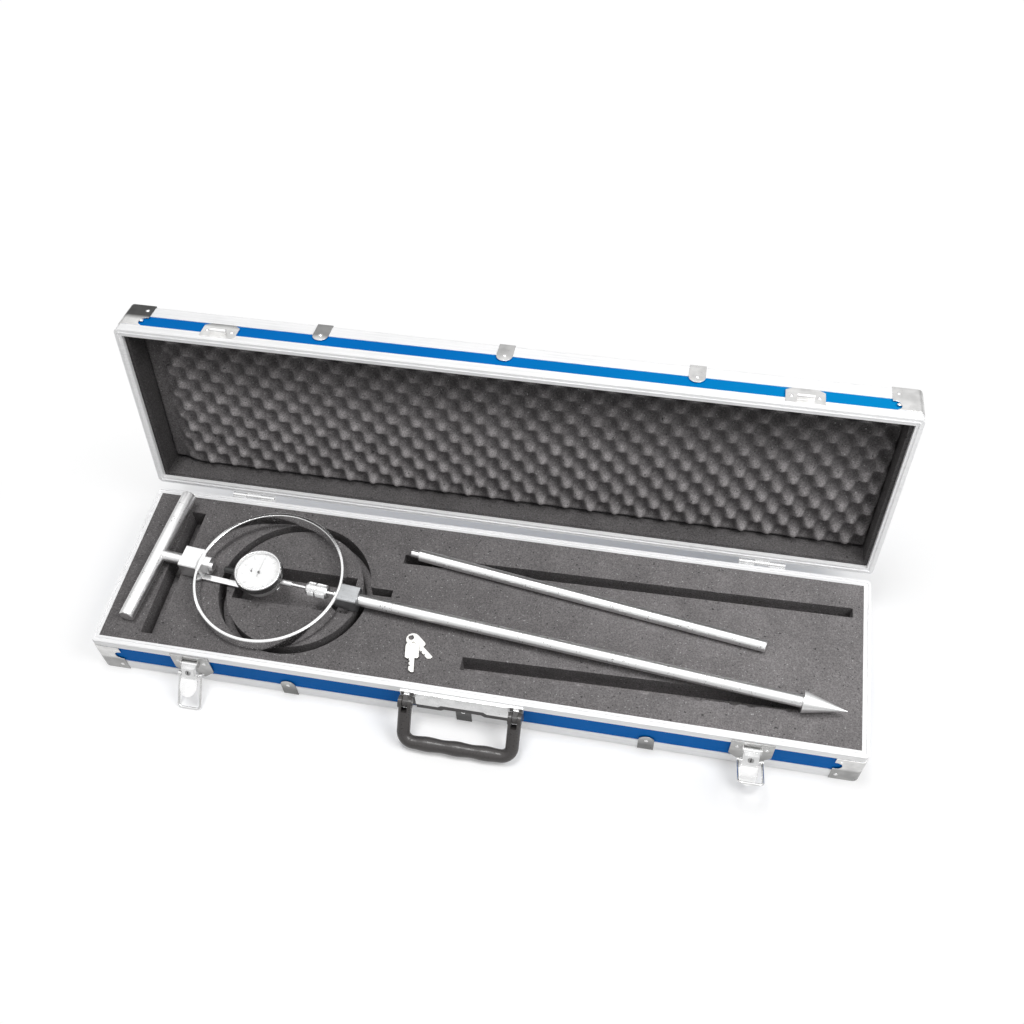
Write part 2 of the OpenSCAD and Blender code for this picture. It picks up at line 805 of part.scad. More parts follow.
module latch_plate(x) {
    w = latch_w / 2;
    z = plate_z;
    translate([x, front_y, 0]) rotate([90, 0, 0]) linear_extrude(plate_t) difference() {
        polygon([[-w, z[2]], [-w, z[1]], [plate_cut - w, z[0]], [w - plate_cut, z[0]],
            [w, z[1]], [w, z[2]]]);
        translate([-plate_slot[0] / 2, plate_slot[2]]) square([plate_slot[0], plate_slot[1]]);
    }
    for (s = [-1, 1]) translate([x + s * (ear_x + ear_t / 2) - ear_t / 2, pin_a[0], pin_a[1]])
        difference() {
            union() {
                rotate([0, 90, 0]) cylinder(r = ear_r, h = ear_t);
                translate([0, 0, -ear_r]) cube([ear_t, latch_u - 0.5, 2 * ear_r]);
            }
            translate([-1, 0, 0]) rotate([0, 90, 0]) cylinder(r = 1.5, h = ear_t + 2);
        }
}

module latch_plates() {
    color("silver") for (s = [-1, 1]) latch_plate(s * latch_x);
}

module latch_pins() {
    color("gray") for (s = [-1, 1])
        translate([s * latch_x - ear_x - ear_t, pin_a[0], pin_a[1]]) rotate([0, 90, 0])
        cylinder(r = 1.5, h = 2 * (ear_x + ear_t));
}

// Puts what is drawn round the lever's pivot, hanging straight down, at its place
module at_lever(x) {
    translate([x, pin_a[0], pin_a[1]]) rotate([-lever_out, 0, 0]) children();
}

// The bent sheet of the lever in section: straight down to the crease, then out to the tip
function lever_sheet(back, t) = let (a = tongue_turn, c = lever_l, n = tongue_l,
    tip = [-back - t - n * sin(a), -c - n * cos(a)])
    [[-back - t, 0], [-back - t, -c], tip, tip + t * [cos(a), -sin(a)],
        [-back, -c - t * tan(a / 2)], [-back, 0]];

module lever() {
    t = 1.5;
    back = 3.1;
    w = lever_w / 2;
    tip = w + 1.5;
    end = lever_l + tongue_l * cos(tongue_turn);
    difference() {
        union() {
            rotate([0, 90, 0]) translate([0, 0, -w]) cylinder(r = 3.2, h = lever_w);
            intersection() {
                translate([-20, 0, 0]) rotate([90, 0, 90]) linear_extrude(40)
                    polygon(lever_sheet(back, t));
                rotate([90, 0, 0]) translate([0, 0, -10]) linear_extrude(40) polygon(concat(
                    [[-w, 0.5], [-w, -lever_l], [-tip, -lever_l - 3]],
                    arc([0, tip - end], tip, 180, 360, 12),
                    [[tip, -lever_l - 3], [w, -lever_l], [w, 0.5]]));
            }
            translate([-w, -back - t, -2.5]) cube([lever_w, back, 2.4]);
            for (s = [-1, 1]) translate([s * (w - 0.6) - 0.6, -back - 1, -lever_l])
                cube([1.2, 5.6, lever_l - 2]);
            translate([2 - w, -back - 4.5, -lock_drop - 5]) cube([lever_w - 4, 4.4, 11]);
            translate([-w - 0.8, -back - t + 0.3, -lever_l]) rotate([0, 90, 0])
                cylinder(r = 1, h = lever_w + 1.6);
        }
        rotate([0, 90, 0]) translate([0, 0, -w - 1]) cylinder(r = 1.5 + run, h = lever_w + 2);
        translate([-w - 1, 0, -crank]) rotate([0, 90, 0]) cylinder(r = 1.25, h = lever_w + 2);
        translate([0, 10, -lock_drop]) rotate([90, 0, 0]) cylinder(r = lock_r + run, h = 30);
    }
}

module lock_barrel() {
    translate([0, 1, -lock_drop]) difference() {
        union() {
            rotate([90, 0, 0]) cylinder(r = lock_r, h = 9);
            translate([-2, 0, -1.5]) cube([8, 1.2, 3]);
        }
        translate([-0.6, -10, -2.5]) cube([1.2, 5, 5]);
    }
}

module loop_pin() {
    end = loop_w / 2 + loop_r;
    translate([-end, 0, -crank]) rotate([0, 90, 0]) cylinder(r = 1.25, h = 2 * end);
}

// The bent wire loop, drawn upright round its own pivot
module loop() {
    w = loop_w / 2;
    straight = loop_l - loop_bend;
    difference() {
        union() {
            for (s = [-1, 1]) {
                translate([s * w, 0, straight]) mirror([0, 0, 1]) plugged_bar(loop_r, straight);
                translate([s * w - loop_r, 0, 0]) rotate([0, 90, 0]) cylinder(r = 3, h = 2 * loop_r);
            }
            for (s = [0, 1]) mirror([s, 0, 0]) translate([loop_bend - w, 0, loop_l])
                rotate([0, 90, 0]) plugged_bar(loop_r, w - loop_bend + lap);
            for (s = [0, 1]) mirror([s, 0, 0]) translate([w - loop_bend, 0, straight])
                rotate([90, 0, 0]) rotate_extrude(angle = 90)
                translate([loop_bend, 0]) circle(r = loop_r);
        }
        translate([-w - 5, 0, 0]) rotate([0, 90, 0]) cylinder(r = 1.25 + run, h = loop_w + 10);
    }
}

// Puts an upright loop on its lever's pin, leaning a degrees out from upright
module at_loop(x, a) {
    at_lever(x) translate([0, 0, -crank]) rotate([a + lever_out, 0, 0]) children();
}

module left_lever() {
    color("gainsboro") at_lever(-latch_x) lever();
}

module right_lever() {
    color("gainsboro") at_lever(latch_x) lever();
}

module left_lock() {
    color("gray") at_lever(-latch_x) lock_barrel();
}

module right_lock() {
    color("gray") at_lever(latch_x) lock_barrel();
}

module left_loop_pin() {
    color("silver") at_lever(-latch_x) loop_pin();
}

module right_loop_pin() {
    color("silver") at_lever(latch_x) loop_pin();
}

module left_loop() {
    color("silver") at_loop(-latch_x, loop_left) loop();
}

module right_loop() {
    color("silver") at_loop(latch_x, loop_right) loop();
}

// Lays the penetrometer, drawn along +X from its cross handle, in the case
module on_foam() {
    translate(tee_at) rotate([0, 0, axis_turn]) rotate([axis_roll, 0, 0]) children();
}

module along_x(x) {
    translate([x, 0, 0]) rotate([0, 90, 0]) children();
}

// A round bar with chamfered ends, along +Z
module chamfered_bar(r, h, c) {
    rotate_extrude() polygon([[0, 0], [r - c, 0], [r, c], [r, h - c], [r - c, h], [0, h]]);
}

// A block with chamfered long edges, along +X
module block(x, l, w, h) {
    c = 1.5;
    translate([x, 0, 0]) rotate([90, 0, 90]) linear_extrude(l) polygon([[w / 2, c - h / 2],
        [w / 2, h / 2 - c], [w / 2 - c, h / 2], [c - w / 2, h / 2], [-w / 2, h / 2 - c],
        [-w / 2, c - h / 2], [c - w / 2, -h / 2], [w / 2 - c, -h / 2]]);
}

module cross_handle() {
    color("gainsboro") on_foam() difference() {
        translate([0, -tee_l / 2, 0]) rotate([-90, 0, 0]) chamfered_bar(tee_r, tee_l, 1);
        along_x(0) cylinder(r = 5, h = tee_r + 1);
    }
}

module handle_stem() {
    color("silver") on_foam() {
        difference() {
            along_x(tee_r - 3) cylinder(r = stem_r, h = top_block_x - tee_r + 3);
            rotate([90, 0, 0]) translate([0, 0, -20]) cylinder(r = tee_r, h = 40);
        }
        along_x(0) cylinder(r = 5, h = tee_r);
        along_x(top_block_x) cylinder(r = screw_r, h = stem_end - top_block_x);
    }
}

module upper_block() {
    color("silver") on_foam() difference() {
        block(top_block_x, top_block_l, top_block_w, top_block_h);
        translate([ring_x, 0, -40]) cylinder(r = ring_or, h = 80, $fn = 96);
        along_x(top_block_x - 1) cylinder(r = screw_r, h = top_block_l + 2);
    }
}

module ring_nut() {
    color("silver") on_foam() difference() {
        along_x(nut_x) rotate([0, 0, 30]) cylinder(r = nut_af / sqrt(3), h = nut_l, $fn = 6);
        along_x(nut_x - 1) cylinder(r = screw_r, h = nut_l + 2);
    }
}

module proving_ring() {
    h = ring_w / 2;
    c = 0.8;
    color("gainsboro") on_foam() difference() {
        translate([ring_x, 0, 0]) rotate_extrude($fn = 96) polygon([[ring_ir, c - h],
            [ring_ir + c, -h], [ring_or - c, -h], [ring_or, c - h], [ring_or, h - c],
            [ring_or - c, h], [ring_ir + c, h], [ring_ir, h - c]]);
        along_x(ring_left - 2) cylinder(r = screw_r, h = 12);
        along_x(ring_right - 10) cylinder(r = pin_r, h = 12);
    }
}

// The strap between the ring and its nut that carries the dial gauge from behind
module gauge_arm() {
    plate_x = ring_x - ring_ir;
    color("silver") on_foam() difference() {
        union() {
            translate([plate_x, arm_y - arm_w / 2, -gauge_back - arm_t])
                cube([nut_x - plate_x, 26, gauge_back + arm_t + 12]);
            translate([plate_x, arm_y - arm_w / 2, -gauge_back - arm_t])
                cube([gauge_x + 4 - plate_x, arm_w, arm_t]);
            translate([gauge_x - 12, arm_y - arm_w / 2, -gauge_back - arm_t])
                cube([16, 4 - arm_y + arm_w / 2, arm_t]);
        }
        translate([ring_x, 0, -40]) difference() {
            cylinder(r = ring_or + 20, h = 80, $fn = 96);
            translate([0, 0, -1]) cylinder(r = ring_ir, h = 82, $fn = 96);
        }
        along_x(plate_x - 1) cylinder(r = screw_r, h = 10);
        translate([gauge_x, 0, -gauge_back - arm_t - 1]) cylinder(r = 2.5, h = arm_t + 2);
    }
}

// The screw that holds the gauge to its arm, and the knurled knob that clamps the bezel
module gauge_screws() {
    color("gray") on_foam() {
        translate([gauge_x, 0, -gauge_back - arm_t - 2]) rotate_extrude() polygon([[0, 0],
            [4, 0], [4.5, 0.5], [4.5, 2], [2.5, 2], [2.5, arm_t + 8], [0, arm_t + 8]]);
        translate([gauge_x, 0, clamp_z]) rotate([0, 0, -22]) rotate([0, 90, 0])
            translate([0, 0, gauge_r - clamp_in]) rotate_extrude() polygon([[0, 0], [1.5, 0],
            [1.5, clamp_in + 1.5], [3.2, clamp_in + 1.5], [3.6, clamp_in + 2],
            [3.6, clamp_in + 8], [3.2, clamp_in + 8.4], [0, clamp_in + 8.4]]);
    }
}

module gauge_body() {
    color("silver") on_foam() difference() {
        union() {
            translate([gauge_x, 0, -gauge_back]) rotate_extrude($fn = 72) polygon([[0, 0],
                [gauge_r - 2, 0], [gauge_r, 2], [gauge_r, gauge_front + gauge_back],
                [0, gauge_front + gauge_back]]);
            along_x(gauge_right - 4) cylinder(r = gauge_stem_r, h = gauge_stem_l + 4);
        }
        along_x(gauge_left - 1) cylinder(r = plunger_r + run, h = 2 * gauge_r + gauge_stem_l + 2);
        translate([gauge_x, 0, -gauge_back - 1]) cylinder(r = 2.5, h = 7);
        translate([gauge_x, 0, clamp_z]) rotate([0, 0, -22]) along_x(gauge_r - clamp_in)
            cylinder(r = 1.5, h = clamp_in + 2);
        translate([gauge_x, 0, gauge_front - 2.5]) cylinder(r = arbor_r + run, h = 3);
        translate([gauge_x + small_hand_at[0], small_hand_at[1], gauge_front - 2.5])
            cylinder(r = arbor_r + run, h = 3);
    }
}

module gauge_cap() {
    r = gauge_stem_r + 0.4;
    color([0.3, 0.3, 0.3]) on_foam() difference() {
        along_x(gauge_left - gauge_cap_l) rotate_extrude() polygon([[0, 0], [r - 1, 0],
            [r, 1], [r, gauge_cap_l + 3], [0, gauge_cap_l + 3]]);
        translate([gauge_x, 0, -30]) cylinder(r = gauge_r, h = 60, $fn = 72);
        along_x(gauge_left - gauge_cap_l + 2) cylinder(r = plunger_r + 0.4, h = gauge_cap_l + 2);
    }
}

module gauge_plunger() {
    x0 = gauge_left - 8;
    l = anvil_x - fit - x0;
    color("gainsboro") on_foam() along_x(x0) rotate_extrude() polygon([[0, 0], [plunger_r, 0],
        [plunger_r, l - 5], [1.6, l - 3], [0.9, l - 0.4], [0.5, l], [0, l]]);
}

module gauge_bezel() {
    inner = gauge_r + 0.2;
    h = bezel_h;
    seat = gauge_front - bezel_z;
    color("silver") on_foam() translate([gauge_x, 0, bezel_z]) rotate_extrude($fn = 72)
        polygon([[inner, 0], [bezel_r - 0.6, 0], [bezel_r, 0.6], [bezel_r, h - 1.5],
            [bezel_r - 1, h], [lip_r, h], [lip_r, h - 1.4], [well_r, h - 1.4],
            [well_r, seat], [inner, seat]]);
}

module gauge_dial() {
    color("white") on_foam() translate([gauge_x, 0, dial_z]) difference() {
        cylinder(r = dial_r, h = dial_t, $fn = 72);
        translate([0, 0, -1]) cylinder(r = arbor_r + 0.5, h = 4);
        translate([small_hand_at[0], small_hand_at[1], -1]) cylinder(r = arbor_r + 0.5, h = 4);
    }
}

module gauge_glass() {
    color([0.8, 0.9, 0.95, 0.4]) on_foam() translate([gauge_x, 0, glass_z - 0.1])
        cylinder(r = well_r - run, h = glass_t, $fn = 72);
}

// A flat tapered hand on its arbor, pointing along +Y
module hand(at, z, l, w) {
    foot = gauge_front - 2;
    translate([gauge_x + at[0], at[1], 0]) {
        translate([0, 0, foot]) cylinder(r = arbor_r, h = z + 0.8 - foot);
        translate([0, 0, z]) linear_extrude(0.4)
            polygon([[-w, -l / 4], [w, -l / 4], [w / 4, l], [-w / 4, l]]);
        translate([0, 0, z]) cylinder(r = 2 * w, h = 0.6);
    }
}

module gauge_pointer() {
    color("black") on_foam() hand([0, 0], hand_z, dial_r - 5, 0.9);
}

module gauge_counter() {
    color("black") on_foam() hand(small_hand_at, small_hand_z, 4.4, 0.5);
}

module anvil() {
    color("silver") on_foam() difference() {
        along_x(anvil_x) rotate_extrude() polygon([[0, 0], [anvil_r - 1.5, 0], [anvil_r - 0.5, 1],
            [anvil_r, 3], [anvil_r, 12], [anvil_r - 0.7, 12.5], [anvil_r - 0.7, 13.5],
            [anvil_r, 14], [anvil_r, anvil_l - 2], [anvil_r - 1, anvil_l], [0, anvil_l]]);
        along_x(anvil_x + 8) cylinder(r = pin_r + run, h = anvil_l);
    }
}

module anvil_pin() {
    start = anvil_x + 9;
    color("silver") on_foam() {
        along_x(start) cylinder(r = pin_r, h = low_block_x + 11 - start);
        intersection() {
            along_x(ring_x + ring_ir - 4) cylinder(r = 5, h = 8);
            translate([ring_x, 0, -40]) cylinder(r = ring_ir, h = 80, $fn = 96);
        }
    }
}

module lower_block() {
    color("silver") on_foam() difference() {
        block(low_block_x, low_block_l, low_block_w, low_block_w);
        translate([ring_x, 0, -40]) cylinder(r = ring_or, h = 80, $fn = 96);
        along_x(low_block_x - 1) cylinder(r = pin_r, h = 13);
        along_x(low_block_end - stud_l - 1) cylinder(r = stud_r + stud_fit, h = stud_l + 2);
    }
}

// A drive rod along +X: a stud on its near end and a socket in its far end
module drive_rod(l) {
    difference() {
        rotate([0, 90, 0]) rotate_extrude() polygon([[0, -stud_l], [stud_r - 0.8, -stud_l],
            [stud_r, 0.8 - stud_l], [stud_r, 0], [rod_r - 0.6, 0], [rod_r, 0.6],
            [rod_r, l - 8], [rod_r - 0.4, l - 7.6], [rod_r, l - 7.2], [rod_r, l - 0.6],
            [rod_r - 0.6, l], [0, l]]);
        along_x(l - stud_l - 2) cylinder(r = stud_r + stud_fit, h = stud_l + 3);
    }
}

module main_rod() {
    color("gainsboro") on_foam() translate([low_block_end, 0, 0]) drive_rod(rod_l);
}

module cone_point() {
    color("silver") on_foam() along_x(rod_end) rotate_extrude() polygon([[0, -stud_l],
        [stud_r, -stud_l], [stud_r, 0], [cone_r - 0.3, 0], [cone_r, 0.3], [0.4, cone_l],
        [0, cone_l]]);
}

module extension_rod() {
    color("gainsboro") translate(ext_at) rotate([0, 0, ext_turn]) translate([stud_l, 0, 0])
        drive_rod(ext_l);
}

// A flat key along +X from its tip, with a rounded bow and cut teeth
module key() {
    w = 3.6;
    blade = key_l - 27;
    r = key_w / 2;
    difference() {
        linear_extrude(key_t) polygon(concat([[0.8, -w], [blade, -w], [blade, -r + 2],
            [blade + 2, -r]], arc([key_l - r - 1, 0], r, 270, 450, 8), [[blade + 2, r],
            [blade, r - 2], [blade, w], [blade - 3, w], [blade - 4.5, w - 1.8], [blade - 6, w],
            [blade - 9, w], [blade - 10.5, w - 2.4], [blade - 12, w], [3, w], [0, w - 3],
            [0, 0.8 - w]]));
        translate([key_l - 6.5, 0, -1]) cylinder(r = 3.5, h = key_t + 2);
    }
}

module keys() {
    color("gainsboro") {
        translate([key_b_at[0], key_b_at[1], foam_z + fit]) rotate([0, 0, key_b_turn]) key();
        translate([key_a_at[0], key_a_at[1], foam_z + key_t + 2 * fit])
            rotate([0, 0, key_a_turn]) key();
    }
}

base_boards();
base_floor_board();
base_rim();
base_rim_corners();
base_edge_strips();
base_corner_caps();
base_clips();
base_rivets();
base_foam_lower();
base_foam_upper();
hinge_base_leaves();
hinge_lid_leaves();
hinge_pins();
lid_boards();
lid_top_board();
lid_rim();
lid_rim_corners();
lid_edge_strips();
lid_corner_caps();
lid_clips();
lid_rivets();
lid_strikes();
lid_lining();
lid_egg_foam();
handle_bracket();
handle_cover();
handle_grip();
handle_pins();
latch_plates();
latch_pins();
left_lever();
left_loop();
left_lock();
left_loop_pin();
right_lever();
right_loop();
right_lock();
right_loop_pin();
cross_handle();
handle_stem();
upper_block();
ring_nut();
proving_ring();
gauge_arm();
gauge_screws();
gauge_body();
gauge_cap();
gauge_plunger();
gauge_bezel();
gauge_dial();
gauge_glass();
gauge_pointer();
gauge_counter();
anvil();
anvil_pin();
lower_block();
main_rod();
cone_point();
extension_rod();
keys();
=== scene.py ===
# %% [markdown]
# # A soil penetrometer in its carrying case
# The object is a hand penetrometer for soil: a cross handle, a proving ring with a dial gauge in it,
# a drive rod and a steel cone. It lies on the foam of an open aluminium case, beside an extension
# rod and two keys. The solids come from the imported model, already in place and in metres. This
# script dresses them: it rounds their edges, builds the foam, and gives each one its finish.

# %% Load the solids
import json
import math
import bmesh
import bpy
from mathutils import Matrix, Vector


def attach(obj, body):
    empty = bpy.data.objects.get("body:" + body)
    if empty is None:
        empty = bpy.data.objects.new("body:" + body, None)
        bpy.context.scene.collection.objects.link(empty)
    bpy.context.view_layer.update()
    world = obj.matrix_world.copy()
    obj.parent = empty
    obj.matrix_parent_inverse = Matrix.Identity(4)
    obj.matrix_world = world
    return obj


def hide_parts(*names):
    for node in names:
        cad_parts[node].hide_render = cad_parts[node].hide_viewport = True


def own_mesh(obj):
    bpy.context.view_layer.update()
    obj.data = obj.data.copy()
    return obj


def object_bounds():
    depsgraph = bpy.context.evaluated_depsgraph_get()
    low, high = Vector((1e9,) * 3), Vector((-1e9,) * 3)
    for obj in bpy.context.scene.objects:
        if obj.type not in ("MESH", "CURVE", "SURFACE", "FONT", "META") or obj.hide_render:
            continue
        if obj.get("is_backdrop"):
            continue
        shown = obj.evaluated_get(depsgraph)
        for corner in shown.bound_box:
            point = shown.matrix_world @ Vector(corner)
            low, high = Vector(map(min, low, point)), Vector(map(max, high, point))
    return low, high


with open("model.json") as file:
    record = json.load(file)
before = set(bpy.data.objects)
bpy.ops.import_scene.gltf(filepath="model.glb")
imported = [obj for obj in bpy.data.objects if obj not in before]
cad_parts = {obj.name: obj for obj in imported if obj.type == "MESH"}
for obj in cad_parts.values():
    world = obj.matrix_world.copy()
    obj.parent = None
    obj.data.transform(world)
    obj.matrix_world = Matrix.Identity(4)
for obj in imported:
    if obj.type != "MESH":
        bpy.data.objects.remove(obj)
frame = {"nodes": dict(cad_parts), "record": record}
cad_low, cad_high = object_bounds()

nodes = frame["nodes"]
body_of = {n: b for b, names in frame["record"]["behaviour"]["bodies"].items() for n in names}
scene = bpy.context.scene
print(len(nodes), "solids, box", [round(v, 4) for v in (*cad_low, *cad_high)])

# %% [markdown]
# ## Camera, floor and light
# The photograph was taken from above and a little to the right, with a normal lens. A camera is
# placed by its three directions: right, up and back. The small shift keeps uprights as they are
# while it moves the picture in its frame.

# %% Camera
eye = bpy.data.cameras.new("eye")
camera = bpy.data.objects.new("eye", eye)
scene.collection.objects.link(camera)
scene.camera = camera
right = Vector((0.98178, 0.18655, -0.03624))
up = Vector((-0.13540, 0.82049, 0.55540))
back = Vector((0.13334, -0.54037, 0.83080))
turn = Matrix((right, up, back)).transposed().to_4x4()
camera.matrix_world = Matrix.Translation((0.21004, -0.74227, 1.28507)) @ turn
eye.lens = 39.07
eye.sensor_width = 36
eye.shift_x, eye.shift_y = 0.01225, 0.06575
eye.clip_end = 20

# %% [markdown]
# ## Maths on sockets
# Procedural finishes need arithmetic between nodes. `Sock` wraps one output socket, so that
# `1 - mask * 0.3` in Python adds the Math nodes that say the same. Other nodes come from
# `Finish.node`, which takes a node's type, its settings and the values or links of its inputs.

# %% Socket arithmetic
class Sock:
    """One output socket that can be added, multiplied and compared."""
    def __init__(self, finish, socket):
        self.finish, self.socket = finish, socket

    def _do(self, operation, other, flip=False):
        first, second = (other, self) if flip else (self, other)
        return self.finish.node("ShaderNodeMath", {"operation": operation}, **{"0": first, "1": second})

    def __add__(self, o): return self._do("ADD", o)
    def __radd__(self, o): return self._do("ADD", o, True)
    def __sub__(self, o): return self._do("SUBTRACT", o)
    def __rsub__(self, o): return self._do("SUBTRACT", o, True)
    def __mul__(self, o): return self._do("MULTIPLY", o)
    def __rmul__(self, o): return self._do("MULTIPLY", o, True)
    def __truediv__(self, o): return self._do("DIVIDE", o)
    def __lt__(self, o): return self._do("LESS_THAN", o)
    def __gt__(self, o): return self._do("GREATER_THAN", o)


class Finish:
    """A new material, its Principled shader and short ways to add nodes to it."""
    def __init__(self, name, colour, roughness, metallic=0.0, **shader):
        self.material = bpy.data.materials.new(name)
        self.material.use_nodes = True
        self.tree = self.material.node_tree
        self.shader = self.tree.nodes["Principled BSDF"]
        self.set("Base Color", (*colour, 1))
        self.set("Roughness", roughness)
        self.set("Metallic", metallic)
        for key, value in shader.items():
            self.set(key.replace("_", " "), value)
        self.material.diffuse_color = (*colour, 1)

    def put(self, value, socket):
        if isinstance(value, Sock):
            self.tree.links.new(value.socket, socket)
        else:
            socket.default_value = value

    def set(self, name, value):
        self.put(value, self.shader.inputs[name])

    def node(self, kind, settings=None, out=0, **inputs):
        n = self.tree.nodes.new(kind)
        for key, value in (settings or {}).items():
            setattr(n, key, value)
        for key, value in inputs.items():
            self.put(value, n.inputs[int(key) if key.isdigit() else key.replace("_", " ")])
        return Sock(self, n.outputs[out])

    def place(self, move=(0, 0, 0), turn=(0, 0, 0), scale=(1, 1, 1)):
        """Object coordinates, moved, turned and scaled in that order."""
        at = self.node("ShaderNodeTexCoord", out=3)
        return self.node("ShaderNodeMapping", {"vector_type": "TEXTURE"}, Vector=at, Location=move,
                         Rotation=[math.radians(a) for a in turn],
                         Scale=[1 / s for s in scale])

    def noise(self, at, scale, detail=2.0, roughness=0.5):
        return self.node("ShaderNodeTexNoise", Vector=at, Scale=scale, Detail=detail, Roughness=roughness)

    def cells(self, at, scale):
        return self.node("ShaderNodeTexVoronoi", Vector=at, Scale=scale)

    def ramp(self, value, *stops):
        """A colour or grey that follows a value through the given stops."""
        n = self.tree.nodes.new("ShaderNodeValToRGB")
        self.put(value, n.inputs[0])
        marks = n.color_ramp.elements
        while len(marks) < len(stops):
            marks.new(0.5)
        for mark, (spot, shade) in zip(marks, stops):
            mark.position = spot
            mark.color = (*shade, 1) if isinstance(shade, tuple) else (shade, shade, shade, 1)
        return Sock(self, n.outputs[0])

    def clamp(self, value, low, high, to_low=0.0, to_high=1.0):
        """A value that runs from to_low to to_high between two bounds and stays there outside."""
        return self.node("ShaderNodeMapRange", Value=value, **{"From_Min": low, "From_Max": high,
                         "To_Min": to_low, "To_Max": to_high})

    def blend(self, factor, a, b):
        """A colour between two, by a factor."""
        n = self.tree.nodes.new("ShaderNodeMix")
        n.data_type = "RGBA"
        for spot, value in ((0, factor), (6, a), (7, b)):
            self.put((*value, 1) if isinstance(value, tuple) else value, n.inputs[spot])
        return Sock(self, n.outputs[2])

    def bump(self, height, distance, strength=1.0):
        self.set("Normal", self.node("ShaderNodeBump", Height=height, Distance=distance, Strength=strength))


print("finish kit ready")

# %% [markdown]
# A white studio has a floor that is white to the camera but still takes a soft shadow. Light Path
# tells camera and mirror rays apart from the light that falls on the object. Near the case the
# camera sees the lit floor, evened out from left to right because the lamps are stronger on the
# right, and further out it sees plain white. Mirror rays see a floor a little darker than the sky
# overhead, which gives metal its light tops and greyer sides.

# %% Floor and sky
SKY, WHITE, FLOOR_WHITE = 0.3, 1.0, 1.01
LIT_LEFT, LIT_RIGHT = 0.8, 1.05
FLOOR_GLOW, MIRROR_FLOOR, MIRROR_LOW, MIRROR_HIGH = 0.15, 0.8, 0.45, 1.15
FLOOR_SIDE, FLOOR_ENDS = 9, (-0.45, 0.45)
OVAL_MIDDLE, OVAL_SCALE, OVAL_EDGE = (0, 0.02, 0), (0.55, 1, 1), (0.24, 0.44)
floor_mesh = bpy.data.meshes.new("floor")
corners = [(x * FLOOR_SIDE, y * FLOOR_SIDE, 0) for x, y in ((-1, -1), (1, -1), (1, 1), (-1, 1))]
floor_mesh.from_pydata(corners, [], [(0, 1, 2, 3)])
floor = bpy.data.objects.new("floor", floor_mesh)
scene.collection.objects.link(floor)
floor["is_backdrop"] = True
pale = Finish("pale_floor", (0.94, 0.94, 0.94), 0.9, Specular_IOR_Level=0.0)
path = pale.tree.nodes.new("ShaderNodeLightPath")
seen, glossy, through = (Sock(pale, path.outputs["Is " + ray + " Ray"])
                         for ray in ("Camera", "Glossy", "Transmission"))
mirrored = pale.node("ShaderNodeMath", {"operation": "MAXIMUM", "use_clamp": True},
                     **{"0": glossy, "1": through})
away = pale.node("ShaderNodeVectorMath", {"operation": "LENGTH"}, out=1,
                 **{"0": pale.place(move=OVAL_MIDDLE, scale=OVAL_SCALE)})
near = pale.clamp(away, *OVAL_EDGE, FLOOR_GLOW, 1.0)
from_left = pale.node("ShaderNodeSeparateXYZ", Vector=pale.place())
lit = pale.clamp(from_left, *FLOOR_ENDS, LIT_LEFT, LIT_RIGHT)
even = (FLOOR_WHITE - (1 - near) * lit) / near
glow = pale.node("ShaderNodeEmission", Color=(1, 1, 1, 1), Strength=seen * even + mirrored * MIRROR_FLOOR)
share = pale.node("ShaderNodeMixShader",
                  **{"0": seen * near + mirrored, "1": Sock(pale, pale.shader.outputs[0]), "2": glow})
pale.tree.links.new(share.socket, pale.tree.nodes["Material Output"].inputs[0])
floor_mesh.materials.append(pale.material)

sky = bpy.data.worlds.new("studio")
scene.world = sky
sky.use_nodes = True
links, sky_nodes = sky.node_tree.links, sky.node_tree.nodes
back_light = sky_nodes["Background"]
back_light.inputs[0].default_value = (1, 1, 1, 1)
rays, way = sky_nodes.new("ShaderNodeLightPath"), sky_nodes.new("ShaderNodeNewGeometry")
parts = sky_nodes.new("ShaderNodeSeparateXYZ")
links.new(way.outputs["Incoming"], parts.inputs[0])
steep = sky_nodes.new("ShaderNodeMath")
steep.operation = "ABSOLUTE"
links.new(parts.outputs[2], steep.inputs[0])
mirror = sky_nodes.new("ShaderNodeMapRange")
for key, value in {"From Min": 0.1, "From Max": 0.7, "To Min": MIRROR_LOW, "To Max": MIRROR_HIGH}.items():
    mirror.inputs[key].default_value = value
links.new(steep.outputs[0], mirror.inputs["Value"])
level = SKY
for ray, strength in (("Is Glossy Ray", mirror.outputs[0]), ("Is Camera Ray", WHITE)):
    pick = sky_nodes.new("ShaderNodeMix")
    links.new(rays.outputs[ray], pick.inputs[0])
    for spot, value in ((2, level), (3, strength)):
        if isinstance(value, float):
            pick.inputs[spot].default_value = value
        else:
            links.new(value, pick.inputs[spot])
    level = pick.outputs[0]
links.new(level, back_light.inputs[1])

# %% [markdown]
# Egg-crate foam only shows its bumps when light rakes over it, so one lamp is high up and almost
# straight above. A second lamp stands nearer, on the right. It makes that end of the case lighter
# than the left end, as in the photograph.

# %% Lamps
def lamp(name, at, aim, size, watts):
    data = bpy.data.lights.new(name, "AREA")
    data.shape = "RECTANGLE"
    data.size, data.size_y = size
    data.energy = watts
    ob = bpy.data.objects.new(name, data)
    ob.location = at
    ob.rotation_euler = (Vector(aim) - Vector(at)).to_track_quat("-Z", "Y").to_euler()
    scene.collection.objects.link(ob)


lamp("overhead", (-0.4, 0.15, 4.0), (0, 0, 0), (1.3, 1.0), 60)
lamp("right_side", (1.3, -0.3, 1.75), (0.2, 0, 0.05), (1.0, 1.0), 22)
scene.view_settings.view_transform = "Standard"
print("floor, sky and", len(bpy.data.lights), "lamps")

